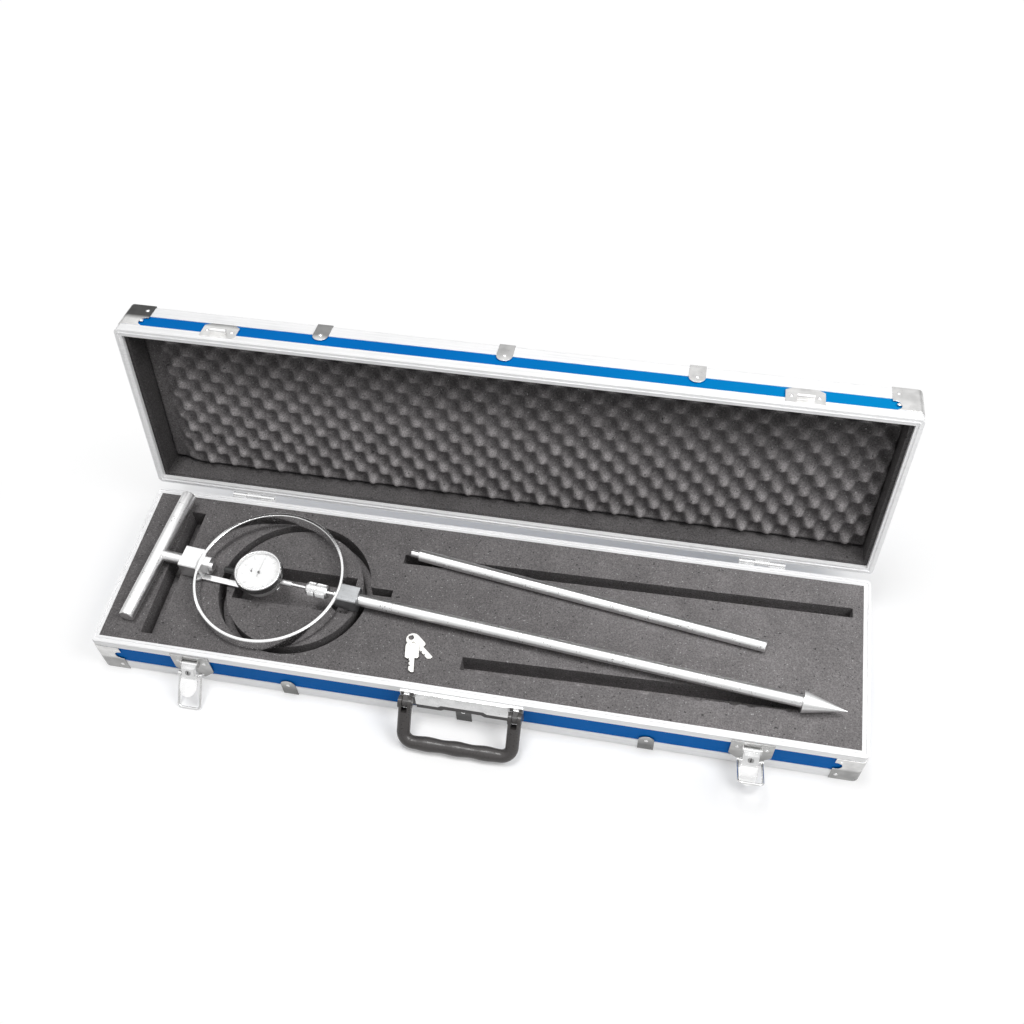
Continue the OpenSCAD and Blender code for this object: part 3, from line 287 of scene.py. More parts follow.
# %% [markdown]
# ## Bright metals
# Each finish is worked out from Object coordinates, so the grain stays with the piece. Turned and
# drawn metal has fine streaks along its length, nickel plate has faint clouds, and both have a few
# dark specks where the surface is pitted. One function makes them all from a colour, a roughness
# and the size of the grain along each axis.

# %% Turned and plated metals
AXIS_TURN, ROD_TURN = (0, 0, -5.34), (0, 0, -8.11)


def bright_metal(name, colour, roughness, turn=(0, 0, 0), grain=(60, 60, 60), specks=0.3, clouds=0.2):
    f = Finish(name, colour, roughness, 1.0)
    streak = f.noise(f.place(turn=turn, scale=grain), 1.0, 3.0, 0.6)
    cloud = f.noise(f.place(), 38.0, 3.0)
    speck = f.clamp(f.noise(f.place(), 420.0, 1.0), 0.64, 0.7) * f.clamp(cloud, 0.45, 0.6)
    dull = tuple(c * 0.5 for c in colour)
    shade = f.clamp(streak * 0.5 + cloud * 0.5, 0.42, 0.66) * clouds
    f.set("Base Color", f.blend(speck * specks, f.blend(shade, colour, dull), (0.16, 0.15, 0.14)))
    f.set("Roughness", roughness + (streak - 0.5) * 0.2 + speck * 0.25)
    f.bump(streak, 0.00004, 0.5)
    return f.material


WHITE_METAL, NICKEL = (0.93, 0.93, 0.93), (0.9, 0.9, 0.9)
DRAWN, FINE = (12, 420, 420), (200, 200, 200)
rod_steel = bright_metal("rod_steel", WHITE_METAL, 0.34, AXIS_TURN, DRAWN, 0.9)
extension_steel = bright_metal("extension_steel", WHITE_METAL, 0.34, ROD_TURN, DRAWN, 0.9)
ring_steel = bright_metal("ring_steel", WHITE_METAL, 0.16, grain=(40, 40, 300), specks=0.0, clouds=0.1)
block_steel = bright_metal("block_steel", WHITE_METAL, 0.34, AXIS_TURN, (90, 90, 90))
milled_steel = bright_metal("milled_steel", (0.46, 0.47, 0.48), 0.38, AXIS_TURN, (30, 240, 240), 0.4, 0.5)
gauge_steel = bright_metal("gauge_steel", NICKEL, 0.46, AXIS_TURN, (60, 60, 500), 0.4, 0.5)
bezel_steel = bright_metal("bezel_steel", WHITE_METAL, 0.22, AXIS_TURN)
latch_steel = bright_metal("latch_steel", NICKEL, 0.2, specks=0.2, clouds=0.3)
dark_steel = bright_metal("dark_steel", (0.2, 0.2, 0.2), 0.34, grain=FINE)
lock_steel = bright_metal("lock_steel", (0.42, 0.42, 0.42), 0.3, grain=FINE)
rivet_metal = bright_metal("rivet_metal", (0.92, 0.92, 0.92), 0.2, specks=0.1)
key_metal = bright_metal("key_metal", (0.9, 0.89, 0.86), 0.28, grain=(300, 300, 300), clouds=0.4)

# %% [markdown]
# The pressed corners, clips and catches are cheap nickel-plated sheet. It mirrors the room in
# soft patches, and these are painted into its colour: painted highlights where a piece faces the
# lamps, painted shade low down and at the left end of the lid. The painted reflection and shade of
# each group is therefore a function of its place on the case, with faint clouds over it, and a slow
# dent in the surface bends the reflections.

# %% Pressed sheet and drawn aluminium
def at_place(f):
    """The three coordinates of a point on the object, in metres."""
    n = f.tree.nodes.new("ShaderNodeSeparateXYZ")
    f.put(f.place(), n.inputs[0])
    return [Sock(f, out) for out in n.outputs]


def pressed_sheet(name, tone):
    """Sheet with painted reflection and shade, a function of x, y and z. `tone` gets the finish and the
    three sockets.
    """
    f = Finish(name, (0.6, 0.6, 0.6), 0.3, 1.0)
    at = f.place()
    cloud = f.noise(at, 70.0, 2.0, 0.45)
    # Painted reflection and shade from the place on the case, times faint clouds.
    shade = tone(f, *at_place(f)) * f.clamp(cloud, 0.35, 0.65, 0.86, 1.08)
    f.set("Base Color", f.blend(shade, (0.0, 0.0, 0.0), (1.0, 0.995, 0.985)))
    f.set("Roughness", 0.24 + f.noise(at, 110.0) * 0.1)
    f.bump(cloud, 0.0006, 0.2)
    return f.material


# Spans in height and on the lid over which the sheet's painted reflection and shade change.
CAP_BEND, CLIP_LIGHT_RISE, PLATE_LIGHT_RISE = (0.024, 0.03), (0.012, 0.033), (0.015, 0.05)
LID_EDGE, LID_FRONT, LID_LIGHT_SPAN = (0.2, 0.209), (0.309, 0.3115), (-0.46, 0.2)
MIDDLE_CLIP = 0.012


def clip_painted_light(f, x, y, z):
    """Painted highlight that rises with height. The clip below the handle, in the middle of the front, gets
    painted shadow.
    """
    # Painted shadow of the handle on the middle clip.
    middle = (x > -MIDDLE_CLIP) * (x < MIDDLE_CLIP) * (y < 0)
    return f.clamp(z, *CLIP_LIGHT_RISE, 0.2, 0.6) * (1 - middle * 0.7)


def lid_painted_light(f, x, y, z):
    """Painted reflection: on the far edge of the lid's front the sheet is dark at the left and light at the
    right.
    """
    far = f.clamp(y, *LID_EDGE) * f.clamp(z, *LID_FRONT)
    return far * f.clamp(x, *LID_LIGHT_SPAN, 0.09, 0.8) + (1 - far) * 0.9


# Corner caps: painted reflection, dark below the bend and light above it.
cap_sheet = pressed_sheet("cap_sheet", lambda f, x, y, z: f.clamp(z, *CAP_BEND, 0.42, 0.85))
clip_sheet = pressed_sheet("clip_sheet", clip_painted_light)
lid_sheet = pressed_sheet("lid_sheet", lid_painted_light)
# Latch plates: painted reflection, lighter with height.
plate_sheet = pressed_sheet("plate_sheet", lambda f, x, y, z: f.clamp(z, *PLATE_LIGHT_RISE, 0.3, 0.6))


def drawn_aluminium(name):
    """Satin aluminium, part mirror and part white oxide."""
    f = Finish(name, (0.93, 0.935, 0.94), 0.3, 0.15, Specular_IOR_Level=0.7)
    streak = f.noise(f.place(scale=(5, 420, 420)), 1.0, 4.0, 0.6)
    cloud = f.noise(f.place(), 22.0, 3.0)
    f.set("Base Color", f.ramp(streak * 0.6 + cloud * 0.4,
                               (0.3, (0.84, 0.845, 0.85)), (0.5, (0.95, 0.95, 0.955))))
    f.set("Roughness", 0.26 + streak * 0.12 + cloud * 0.06)
    f.bump(streak, 0.00004, 0.5)
    return f.material


aluminium = drawn_aluminium("aluminium")

# %% [markdown]
# The case is covered with a thin blue laminate that has a fine leather-like emboss and only a weak
# shine. Foam is matt and full of small torn cells: dark pits where a cell lies open, and here and
# there a bright fleck, a painted glint where a cell wall catches the light.

# %% Laminate, foam and plastics
def laminate(name, colour, lit_end=None):
    """Blue laminate. On the lid it turns paler towards the right end: painted light, stronger there."""
    f = Finish(name, colour, 0.45, 0.0, Specular_IOR_Level=0.03)
    at = f.place()
    pebble = f.cells(at, 900.0)
    cloud = f.noise(at, 9.0, 3.0)
    lighter = tuple(min(1, c * 1.1) for c in colour)
    tone = f.blend(f.clamp(cloud, 0.35, 0.7), colour, lighter)
    # Painted light: the lid's blue turns paler towards its right end.
    if lit_end:
        tone = f.blend(f.clamp(at_place(f)[0], -0.1, 0.42), tone, lit_end)
    f.set("Base Color", tone)
    f.set("Roughness", 0.38 + pebble * 0.16)
    f.bump(pebble, 0.00006, 0.5)
    return f.material


BASE_BLUE, LID_BLUE, LIT_END_BLUE = (0.0, 0.125, 0.45), (0.0, 0.145, 0.48), (0.0, 0.23, 0.55)
case_blue = laminate("case_blue", BASE_BLUE)
lid_blue = laminate("lid_blue", LID_BLUE, LIT_END_BLUE)
top_blue = laminate("top_blue", LID_BLUE)


# Spans of painted light and shade on the foam: left to right, up the pad, across the lining's side walls.
SHADE_SPAN, PAD_SHADE_RISE, SIDE_WALL = (-0.2, 0.35), (0.2, 0.27), (0.462, 0.476)


def cell_foam(name, shade, depth=0.0005, left=1.0, flecks=0.5, kind=""):
    """Charcoal foam. `left` paints light on the left end: shade there below one, light above one. On
    the egg-crate pad the attribute `dip` is 1 at the bottom of a dip, where shade is painted."""
    f = Finish(name, (shade, shade * 0.95, shade * 0.96), 0.95, Specular_IOR_Level=0.1)
    at = f.place()
    x, y, z = at_place(f)
    cell = f.cells(at, 430.0)
    grain = f.noise(at, 760.0, 2.0, 0.7)
    cloud = f.noise(at, 22.0, 4.0, 0.6)
    pit = f.clamp(f.noise(at, 270.0, 1.0), 0.7, 0.75)
    # Bright flecks: painted glints where a cell wall catches the light.
    fleck = f.clamp(f.noise(f.place(move=(3, 1, 2)), 430.0, 1.0), 0.71, 0.75)
    tone = f.clamp(cell * 0.5 + grain * 0.9, 0.4, 0.95, 0.62, 1.38) * f.clamp(cloud, 0.3, 0.7, 0.86, 1.14)
    # Painted light at the left end: the factor `left` darkens it below one and lightens it above one.
    tone = tone * f.clamp(x, *SHADE_SPAN, left, 1.0)
    if kind == "egg":
        # Painted shade in the dips and towards the pad's top, below the lid's front wall, and painted light
        # low down.
        dip = f.node("ShaderNodeAttribute", {"attribute_name": "dip"}, out=2)
        light = f.ramp(dip, (0.0, 0.85), (0.3, 0.8), (0.62, 0.52), (1.0, 0.46))
        tone = tone * light * f.clamp(z, *PAD_SHADE_RISE, 1.3, 0.76)
    # Painted shade on the lining's side walls, deeper at the left end.
    if kind == "lining":
        tone = tone * f.clamp(0 - x, *SIDE_WALL, 1.0, 0.55) * f.clamp(x, *SIDE_WALL, 1.0, 0.8)
    base = f.blend(tone * 0.4, (0, 0, 0), (2.5 * shade, 2.38 * shade, 2.4 * shade))
    pitted = f.blend(pit * 0.8, base, (shade * 0.2,) * 3)
    f.set("Base Color", f.blend(fleck * flecks, pitted, (0.7, 0.7, 0.7)))
    f.bump(cell * 0.6 + grain * 0.4 - pit * 0.9, depth, 0.8)
    return f.material


base_foam = cell_foam("base_foam", 0.19, left=0.74)
# The lower slab, seen in the pockets, is the same foam painted lighter: painted light in the pockets.
pocket_lit_foam = cell_foam("pocket_lit_foam", 0.32, left=0.74)
lid_foam = cell_foam("lid_foam", 0.11, flecks=0.12, kind="lining")
egg_foam = cell_foam("egg_foam", 0.25, 0.0004, left=1.14, flecks=0.4, kind="egg")


def moulded(name, colour, roughness, scale=700.0, **shader):
    """Moulded plastic or paint, with faint clouds and a fine pebble."""
    f = Finish(name, colour, roughness, 0.0, **shader)
    at = f.place()
    pebble = f.noise(at, scale, 2.0)
    cloud = f.noise(at, 30.0, 3.0)
    f.set("Base Color", f.blend(cloud * 0.5, colour, tuple(min(1, c * 1.5) for c in colour)))
    f.set("Roughness", roughness + (pebble - 0.5) * 0.2)
    f.bump(pebble, 0.00008, 0.5)
    return f.material


grip_black = moulded("grip_black", (0.05, 0.046, 0.045), 0.3, 500.0)
pad_black = moulded("pad_black", (0.06, 0.056, 0.056), 0.5)
cap_black = moulded("cap_black", (0.03, 0.03, 0.03), 0.3)
# The dial glows faintly: painted light that keeps it white under the glass.
dial_white = moulded("dial_white", (0.97, 0.97, 0.965), 0.5,
                     Emission_Color=(1, 1, 1, 1), Emission_Strength=0.12)
ink_black = moulded("ink_black", (0.02, 0.02, 0.02), 0.45)
grey_ink = moulded("grey_ink", (0.6, 0.6, 0.6), 0.45)
crystal = Finish("crystal", (1, 1, 1), 0.03, 0.0, Alpha=0.1).material


BRIGHT_ABOVE, LUGS_BEFORE = 0.0505, -0.1325


def bracket_finish(name):
    """Black lugs and lower edge, bright plated steel along the top edge of the plate."""
    f = Finish(name, (0.06, 0.056, 0.056), 0.45)
    x, y, z = at_place(f)
    bright = (z > BRIGHT_ABOVE) * (y > LUGS_BEFORE)
    grain = f.noise(f.place(), 500.0)
    black = f.blend(grain, (0.045, 0.042, 0.042), (0.08, 0.075, 0.075))
    f.set("Base Color", f.blend(bright, black, WHITE_METAL))
    f.set("Metallic", bright)
    f.set("Roughness", 0.3 + grain * 0.2)
    f.bump(grain, 0.00006, 0.5)
    return f.material


bracket_black = bracket_finish("bracket_black")
print(len(bpy.data.materials), "finishes")

# %% [markdown]
# ## Softened edges
# No stamped or machined edge is perfectly sharp: a thin bright line runs along it. Each metal solid
# is copied, its flat faces are joined up again, and a narrow bevel rounds what is left of the sharp
# edges. The copy then stands for the solid.

# %% Bevelled copies
WELD, FLAT = 1e-6, math.radians(1)


def welded(name):
    """A solid's mesh as a bmesh, with the corners of its loose triangles joined."""
    b = bmesh.new()
    b.from_mesh(nodes[name].data)
    bmesh.ops.remove_doubles(b, verts=b.verts, dist=WELD)
    return b


def as_mesh(b, name):
    """A new mesh from a bmesh, which is then freed."""
    mesh = bpy.data.meshes.new(name)
    b.to_mesh(mesh)
    b.free()
    return mesh


def fresh_copy(name):
    """A welded copy of a solid, with the triangles of each flat face joined."""
    b = welded(name)
    bmesh.ops.dissolve_limit(b, angle_limit=FLAT, verts=b.verts, edges=b.edges)
    return as_mesh(b, name + "_soft")


def add_piece(name, mesh, material, body, replaced=()):
    """Adds a finished mesh to the object. It may stand for one or more solids."""
    mesh.materials.clear()
    mesh.materials.append(material)
    ob = bpy.data.objects.new(name, mesh)
    scene.collection.objects.link(ob)
    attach(ob, body)
    if replaced:
        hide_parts(*replaced)
    return ob


def soften(name, material, width, segments=2, angle=32):
    """Adds a copy of a solid with its sharp edges rounded, in place of the solid."""
    ob = add_piece(name + "_soft", fresh_copy(name), material, body_of[name], [name])
    for face in ob.data.polygons:
        face.use_smooth = True
    round_off = ob.modifiers.new("round", "BEVEL")
    round_off.width = width
    round_off.segments = segments
    round_off.limit_method = "ANGLE"
    round_off.angle_limit = math.radians(angle)
    round_off.harden_normals = True
    even = ob.modifiers.new("even", "WEIGHTED_NORMAL")
    even.keep_sharp = True
    return ob


metal = {
    "base_rim": (aluminium, 0.0002), "base_edge_strips": (aluminium, 0.0003),
    "lid_rim": (aluminium, 0.0002), "lid_edge_strips": (aluminium, 0.0003),
    "base_rim_corners": (aluminium, 0.0002), "lid_rim_corners": (aluminium, 0.0002),
    "base_corner_caps": (cap_sheet, 0.0003), "lid_corner_caps": (lid_sheet, 0.0003),
    "base_clips": (clip_sheet, 0.0003), "lid_clips": (lid_sheet, 0.0003),
    "lid_strikes": (lid_sheet, 0.0004), "latch_plates": (plate_sheet, 0.0004),
    "left_lever": (latch_steel, 0.0004), "right_lever": (latch_steel, 0.0004),
    "left_lock": (lock_steel, 0.0003), "right_lock": (lock_steel, 0.0003),
    "hinge_base_leaves": (latch_steel, 0.0003), "hinge_lid_leaves": (latch_steel, 0.0003),
    "handle_cover": (latch_steel, 0.0003), "handle_bracket": (bracket_black, 0.0005),
    "upper_block": (block_steel, 0.0005), "lower_block": (milled_steel, 0.0005),
    "ring_nut": (block_steel, 0.0006), "proving_ring": (ring_steel, 0.0008),
    "gauge_bezel": (bezel_steel, 0.0004), "gauge_arm": (rod_steel, 0.0004), "keys": (key_metal, 0.0003)}
for name, (material, width) in metal.items():
    soften(name, material, width)
print(len(metal), "solids softened")

# %% [markdown]
# Round bars, rings and pins already have their true curves, so those solids stay as they are and
# only take a finish.

# %% Finishes on the round pieces
plain = {
    "base_boards": case_blue, "base_floor_board": case_blue,
    "lid_boards": lid_blue, "lid_top_board": top_blue,
    "hinge_pins": dark_steel, "handle_pins": latch_steel, "latch_pins": latch_steel,
    "left_loop": latch_steel, "right_loop": latch_steel,
    "left_loop_pin": latch_steel, "right_loop_pin": latch_steel,
    "handle_grip": grip_black, "cross_handle": rod_steel, "handle_stem": rod_steel,
    "gauge_screws": latch_steel, "gauge_body": gauge_steel, "gauge_cap": cap_black,
    "gauge_plunger": rod_steel, "gauge_dial": dial_white, "gauge_glass": crystal,
    "gauge_counter": ink_black,
    "anvil": block_steel, "anvil_pin": rod_steel, "main_rod": rod_steel, "cone_point": block_steel,
    "extension_rod": extension_steel}
for name, material in plain.items():
    mesh = nodes[name].data
    mesh.materials.clear()
    mesh.materials.append(material)
print(len(plain), "solids finished")

# %% [markdown]
# ## Places, read from the frame
# New pieces go where the solids say. The lid is drawn shut and then turned about its hinge pins,
# and the instrument lies turned and tilted on the foam. Both turns can be read from the joints:
# the lid's hinge gives the pins and the angle, and the gauge's own joints give the directions
# along the plunger and out of the dial.

# %% Transforms of the lid and of the instrument
joint = {j["name"]: j for j in frame["record"]["behaviour"]["joints"]}
HINGE = Vector(joint["lid_hinge"]["pos_m"])
OPEN = Matrix.Rotation(math.radians(joint["lid_hinge"]["range_deg"][0]), 4, "X")
shut_to_open = Matrix.Translation(HINGE) @ OPEN @ Matrix.Translation(-HINGE)

dial_at = Vector(joint["bezel_turn"]["pos_m"])
ahead = -Vector(joint["plunger_slide"]["axis"]).normalized()
outward = Vector(joint["bezel_turn"]["axis"]).normalized()
aside = outward.cross(ahead)
gauge_turn = Matrix((ahead, aside, outward)).transposed().to_4x4()
gauge_place = Matrix.Translation(dial_at) @ gauge_turn
TO_AXIS = Matrix.Rotation(math.radians(90), 4, "Y")


def reach(name, along, start):
    """How far a solid reaches from a point in one direction, lowest and highest."""
    ways = [(v.co - start).dot(along) for v in nodes[name].data.vertices]
    return min(ways), max(ways)


def widest(name, along, start):
    """The largest distance of a solid from the line through a point."""
    ways = [v.co - start for v in nodes[name].data.vertices]
    return max((way - along * way.dot(along)).length for way in ways)


dial_top = reach("gauge_dial", outward, dial_at)[1]
dial_edge = widest("gauge_dial", outward, dial_at)
print("dial radius, mm", round(dial_edge * 1000, 2), "its top", round(dial_top * 1000, 2))

# %% [markdown]
# ## Geometry Nodes, in a small wrapper
# A tree is built like a material, one node at a time, from named inputs. It ends in Realize
# Instances and Set Material, and its result becomes a plain mesh.

# %% Node tree helper
class Tree:
    """A geometry node tree that ends in Realize Instances and Set Material."""
    def __init__(self, name, inputs):
        self.tree = bpy.data.node_groups.new(name, "GeometryNodeTree")
        face = self.tree.interface
        face.new_socket("Geometry", in_out="INPUT", socket_type="NodeSocketGeometry")
        for key, value in inputs.items():
            kind = "NodeSocketInt" if isinstance(value, int) else "NodeSocketFloat"
            face.new_socket(key, in_out="INPUT", socket_type=kind).default_value = value
        face.new_socket("Material", in_out="INPUT", socket_type="NodeSocketMaterial")
        face.new_socket("Geometry", in_out="OUTPUT", socket_type="NodeSocketGeometry")
        self.start = self.tree.nodes.new("NodeGroupInput")
        self.end = self.tree.nodes.new("NodeGroupOutput")

    def input(self, key):
        return self.start.outputs[key]

    def node(self, kind, settings=None, out=0, **inputs):
        n = self.tree.nodes.new(kind)
        for key, value in (settings or {}).items():
            setattr(n, key, value)
        for key, value in inputs.items():
            numbered = key[0] == "i" and key[1:].isdigit()
            spot = n.inputs[int(key[1:]) if numbered else key.replace("_", " ")]
            for one in value if isinstance(value, list) else [value]:
                if isinstance(one, bpy.types.NodeSocket):
                    self.tree.links.new(one, spot)
                else:
                    spot.default_value = one
        return n.outputs[out]

    def maths(self, operation, a, b=0.0):
        return self.node("ShaderNodeMath", {"operation": operation}, i0=a, i1=b)

    def vector(self, x, y, z):
        return self.node("ShaderNodeCombineXYZ", X=x, Y=y, Z=z)

    def finish(self, geometry):
        real = self.node("GeometryNodeRealizeInstances", Geometry=geometry)
        done = self.node("GeometryNodeSetMaterial", Geometry=real, Material=self.input("Material"))
        self.tree.links.new(done, self.end.inputs[0])

    def grow(self, name, material, start=None, **values):
        """Runs the tree on a start mesh and returns the result as a plain mesh."""
        ob = bpy.data.objects.new(name + "_seed", start or bpy.data.meshes.new(name + "_seed"))
        scene.collection.objects.link(ob)
        rule = ob.modifiers.new("rule", "NODES")
        rule.node_group = self.tree
        for item in self.tree.interface.items_tree:
            if item.in_out == "INPUT" and item.name in values:
                rule[item.identifier] = values[item.name]
            if item.in_out == "INPUT" and item.name == "Material":
                rule[item.identifier] = material
        made = bpy.data.meshes.new_from_object(ob.evaluated_get(bpy.context.evaluated_depsgraph_get()))
        bpy.data.objects.remove(ob)
        made.name = name
        return made


def joined(name, *meshes):
    """One mesh from several, which are then deleted."""
    b = bmesh.new()
    for mesh in meshes:
        b.from_mesh(mesh)
        bpy.data.meshes.remove(mesh)
    return as_mesh(b, name)


print("tree helper ready")

# %% [markdown]
# ## Egg-crate foam
# The lid's pad is cut so that rounded bumps stand on every other crossing of a grid, with dips on
# the crossings between. The height of such a surface is one formula: the product of two cosines.
# A subdivided block whose lower points are moved by that formula gives the pad as a closed piece.
# The tree also stores how deep each point lies, so that the foam's finish can paint shade into the dips.

# %% Egg-crate pad
PITCH, ROW = 0.0335, 0.01806
COLUMNS, ROWS = 57, 12
PAD_TOP, PAD_BASE, BUMP = 0.1153, 0.0105, 0.0175
ROUNDNESS, SQUASHED = 1.25, 0.45
PLAIN_END, FIRST_BUMP = 0.012, 0.04
egg = Tree("egg crate", {"Columns": COLUMNS, "Rows": ROWS, "Pitch": PITCH, "Row": ROW, "Base": PAD_BASE,
                         "Bump": BUMP})
length = egg.maths("MULTIPLY", egg.input("Columns"), egg.maths("MULTIPLY", egg.input("Pitch"), 0.5))
width = egg.maths("MULTIPLY", egg.input("Rows"), egg.input("Row"))
block = egg.node("GeometryNodeMeshCube", Size=egg.vector(length, width, egg.input("Base")),
                 Vertices_X=egg.maths("ADD", egg.maths("MULTIPLY", egg.input("Columns"), 7), 1),
                 Vertices_Y=egg.maths("ADD", egg.maths("MULTIPLY", egg.input("Rows"), 8), 1), Vertices_Z=2)
at = egg.node("GeometryNodeInputPosition")
split = egg.tree.nodes.new("ShaderNodeSeparateXYZ")
egg.tree.links.new(at, split.inputs[0])


def wave(tree, place, size, step, turn, shift=0.0):
    """The cosine of a place along one side, which has its peaks a step apart."""
    way = tree.maths("DIVIDE", tree.maths("ADD", place, tree.maths("MULTIPLY", size, 0.5)), step)
    return tree.maths("COSINE", tree.maths("MULTIPLY", tree.maths("ADD", way, shift), turn))


swell = egg.maths("MULTIPLY", wave(egg, split.outputs[0], length, egg.input("Pitch"), 2 * math.pi, 0.25),
                  wave(egg, split.outputs[1], width, egg.input("Row"), math.pi, 0.5))
from_left = egg.maths("ADD", split.outputs[0], egg.maths("MULTIPLY", length, 0.5))
rise = egg.node("ShaderNodeMapRange", {"interpolation_type": "SMOOTHSTEP"}, Value=from_left,
                From_Min=PLAIN_END, From_Max=FIRST_BUMP)
bulge = egg.maths("MULTIPLY", egg.maths("ADD", swell, 1.0), 0.5)
share = egg.maths("MULTIPLY", rise, egg.maths("POWER", bulge, ROUNDNESS))
rough = egg.node("ShaderNodeTexNoise", Scale=45.0, Detail=2.0)
drop = egg.maths("MULTIPLY", egg.maths("MULTIPLY", share, egg.input("Bump")),
                 egg.maths("ADD", egg.maths("MULTIPLY", rough, 0.3), 0.8))
lower = egg.maths("LESS_THAN", split.outputs[2], 0.0)
moved = egg.node("GeometryNodeSetPosition", Geometry=block, Selection=lower,
                 Offset=egg.vector(0.0, 0.0, egg.maths("MULTIPLY", drop, -1.0)))
dipped = egg.node("GeometryNodeStoreNamedAttribute", {"data_type": "FLOAT", "domain": "POINT"},
                  Geometry=moved, Name="dip", Value=egg.maths("SUBTRACT", 1.0, share))
egg.finish(egg.node("GeometryNodeSetShadeSmooth", Geometry=dipped, Shade_Smooth=True))
pad = egg.grow("egg_crate_pad", egg_foam)
pad.transform(shut_to_open @ Matrix.Translation((0, 0, PAD_TOP - PAD_BASE / 2)))
egg_pad = add_piece("egg_crate_pad", pad, egg_foam, "lid", ["lid_egg_foam"])
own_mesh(egg_pad)
print("egg-crate pad", len(pad.polygons), "faces")

# %% [markdown]
# ## Cut foam in the base
# The base holds a flat slab with pockets cut right through its upper layer by hand. The slabs keep
# their solids' shapes, with edges rounded as a knife leaves them in soft foam. Only the front groove is
# trimmed: it runs a little askew and ends under the cone, as the hand cut one does.

# %% Foam slabs
GROOVE_LEFT, GROOVE_RIGHT, GROOVE_STOP = -0.06, 0.47, 0.412
GROOVE_FRONT, GROOVE_EDGE, GROOVE_BACK = -0.0935, -0.0905, -0.0715
ASKEW = 0.028


def trim_groove(mesh):
    """Draws the groove's right end back to its stop and turns the groove about its left end."""
    b = bmesh.new()
    b.from_mesh(mesh)
    cut = [v for v in b.verts
           if GROOVE_LEFT < v.co.x < GROOVE_RIGHT and GROOVE_FRONT < v.co.y < GROOVE_BACK]
    start = min(v.co.x for v in cut)
    for v in cut:
        if v.co.x > GROOVE_STOP:
            v.co.x, v.co.y = GROOVE_STOP, max(v.co.y, GROOVE_EDGE)
        v.co.y += (v.co.x - start) * ASKEW
    bmesh.ops.remove_doubles(b, verts=b.verts, dist=WELD)
    b.to_mesh(mesh)
    b.free()
    print("front groove", len(cut), "corners, from", round(start, 3), "to", GROOVE_STOP)


for name, material, width in (("base_foam_upper", base_foam, 0.0012),
                              ("base_foam_lower", pocket_lit_foam, 0.0008),
                              ("lid_lining", lid_foam, 0.0012)):
    slab = soften(name, material, width, segments=3, angle=40)
    if name == "base_foam_upper":
        trim_groove(slab.data)
    print(name, len(slab.data.polygons), "faces")

# %% [markdown]
# ## Rivets and hinge screws
# Every rivet head is the same: a thin flange with a low dome on it. Geometry Nodes set one head on
# each point of a start mesh and turn it to the direction stored there. The points come from the
# solids: each rivet is a separate island of its node's mesh.

# %% Heads on points
heads = Tree("heads", {"Radius": 0.0026, "Rise": 0.0013, "Flange": 0.0003, "Dome": 0.8})
dome_r = heads.maths("MULTIPLY", heads.input("Radius"), heads.input("Dome"))
ball = heads.node("GeometryNodeMeshUVSphere", Segments=20, Rings=12, Radius=dome_r)
flat = heads.node("GeometryNodeTransform", Geometry=ball,
                  Scale=heads.vector(1.0, 1.0, heads.maths("DIVIDE", heads.input("Rise"), dome_r)))
smooth = heads.node("GeometryNodeSetShadeSmooth", Geometry=flat, Shade_Smooth=True)
flange = heads.node("GeometryNodeMeshCylinder", Vertices=24, Radius=heads.input("Radius"),
                    Depth=heads.maths("MULTIPLY", heads.input("Flange"), 2.0))
head = heads.node("GeometryNodeJoinGeometry", Geometry=[smooth, flange])
lean = heads.node("GeometryNodeInputNamedAttribute", {"data_type": "FLOAT_VECTOR"}, Name="lean")
facing = heads.node("FunctionNodeAlignRotationToVector", {"axis": "Z"}, Vector=lean)
heads.finish(heads.node("GeometryNodeInstanceOnPoints", Points=heads.input("Geometry"), Instance=head,
                        Rotation=facing))


RIM_SHARE = 0.97


def islands(name):
    """The separate solids of a node in their order, each as the list of its corners."""
    b = welded(name)
    seen, found = set(), []
    for first in b.verts:
        if first in seen:
            continue
        seen.add(first)
        island = [first]
        for corner in island:
            for beside in (e.other_vert(corner) for e in corner.link_edges):
                if beside not in seen:
                    seen.add(beside)
                    island.append(beside)
        found.append([v.co.copy() for v in island])
    b.free()
    return found


def head_seat(points):
    """The middle of a rivet's flat foot, and the direction its dome looks in."""
    middle = sum(points, Vector()) / len(points)
    widest_way = max((p - middle).length for p in points)
    rim = [p for p in points if (p - middle).length > RIM_SHARE * widest_way]
    seat = sum(rim, Vector()) / len(rim)
    return seat, (middle - seat).normalized()


def head_points(name, seats):
    """A start mesh with a point for each seat, which carries the direction of its head."""
    mesh = bpy.data.meshes.new(name + "_points")
    mesh.from_pydata([tuple(at) for at, way in seats], [], [])
    lean = mesh.attributes.new("lean", "FLOAT_VECTOR", "POINT")
    for row, (at, way) in zip(lean.data, seats):
        row.vector = way
    return mesh


for name in ("base_rivets", "lid_rivets"):
    seats = [head_seat(points) for points in islands(name)]
    mesh = heads.grow(name + "_heads", rivet_metal, head_points(name, seats))
    add_piece(name + "_heads", mesh, rivet_metal, body_of[name], [name])
    print(name, len(seats), "heads,", len(mesh.polygons), "faces")

# %% [markdown]
# Each hinge leaf is held by three low screws. They sit on the middle line of the leaf's flat part,
# at a sixth, a half and five sixths of its length. The lid's leaves are measured with the lid shut,
# where they stand upright, and their screws are then turned open with the lid.

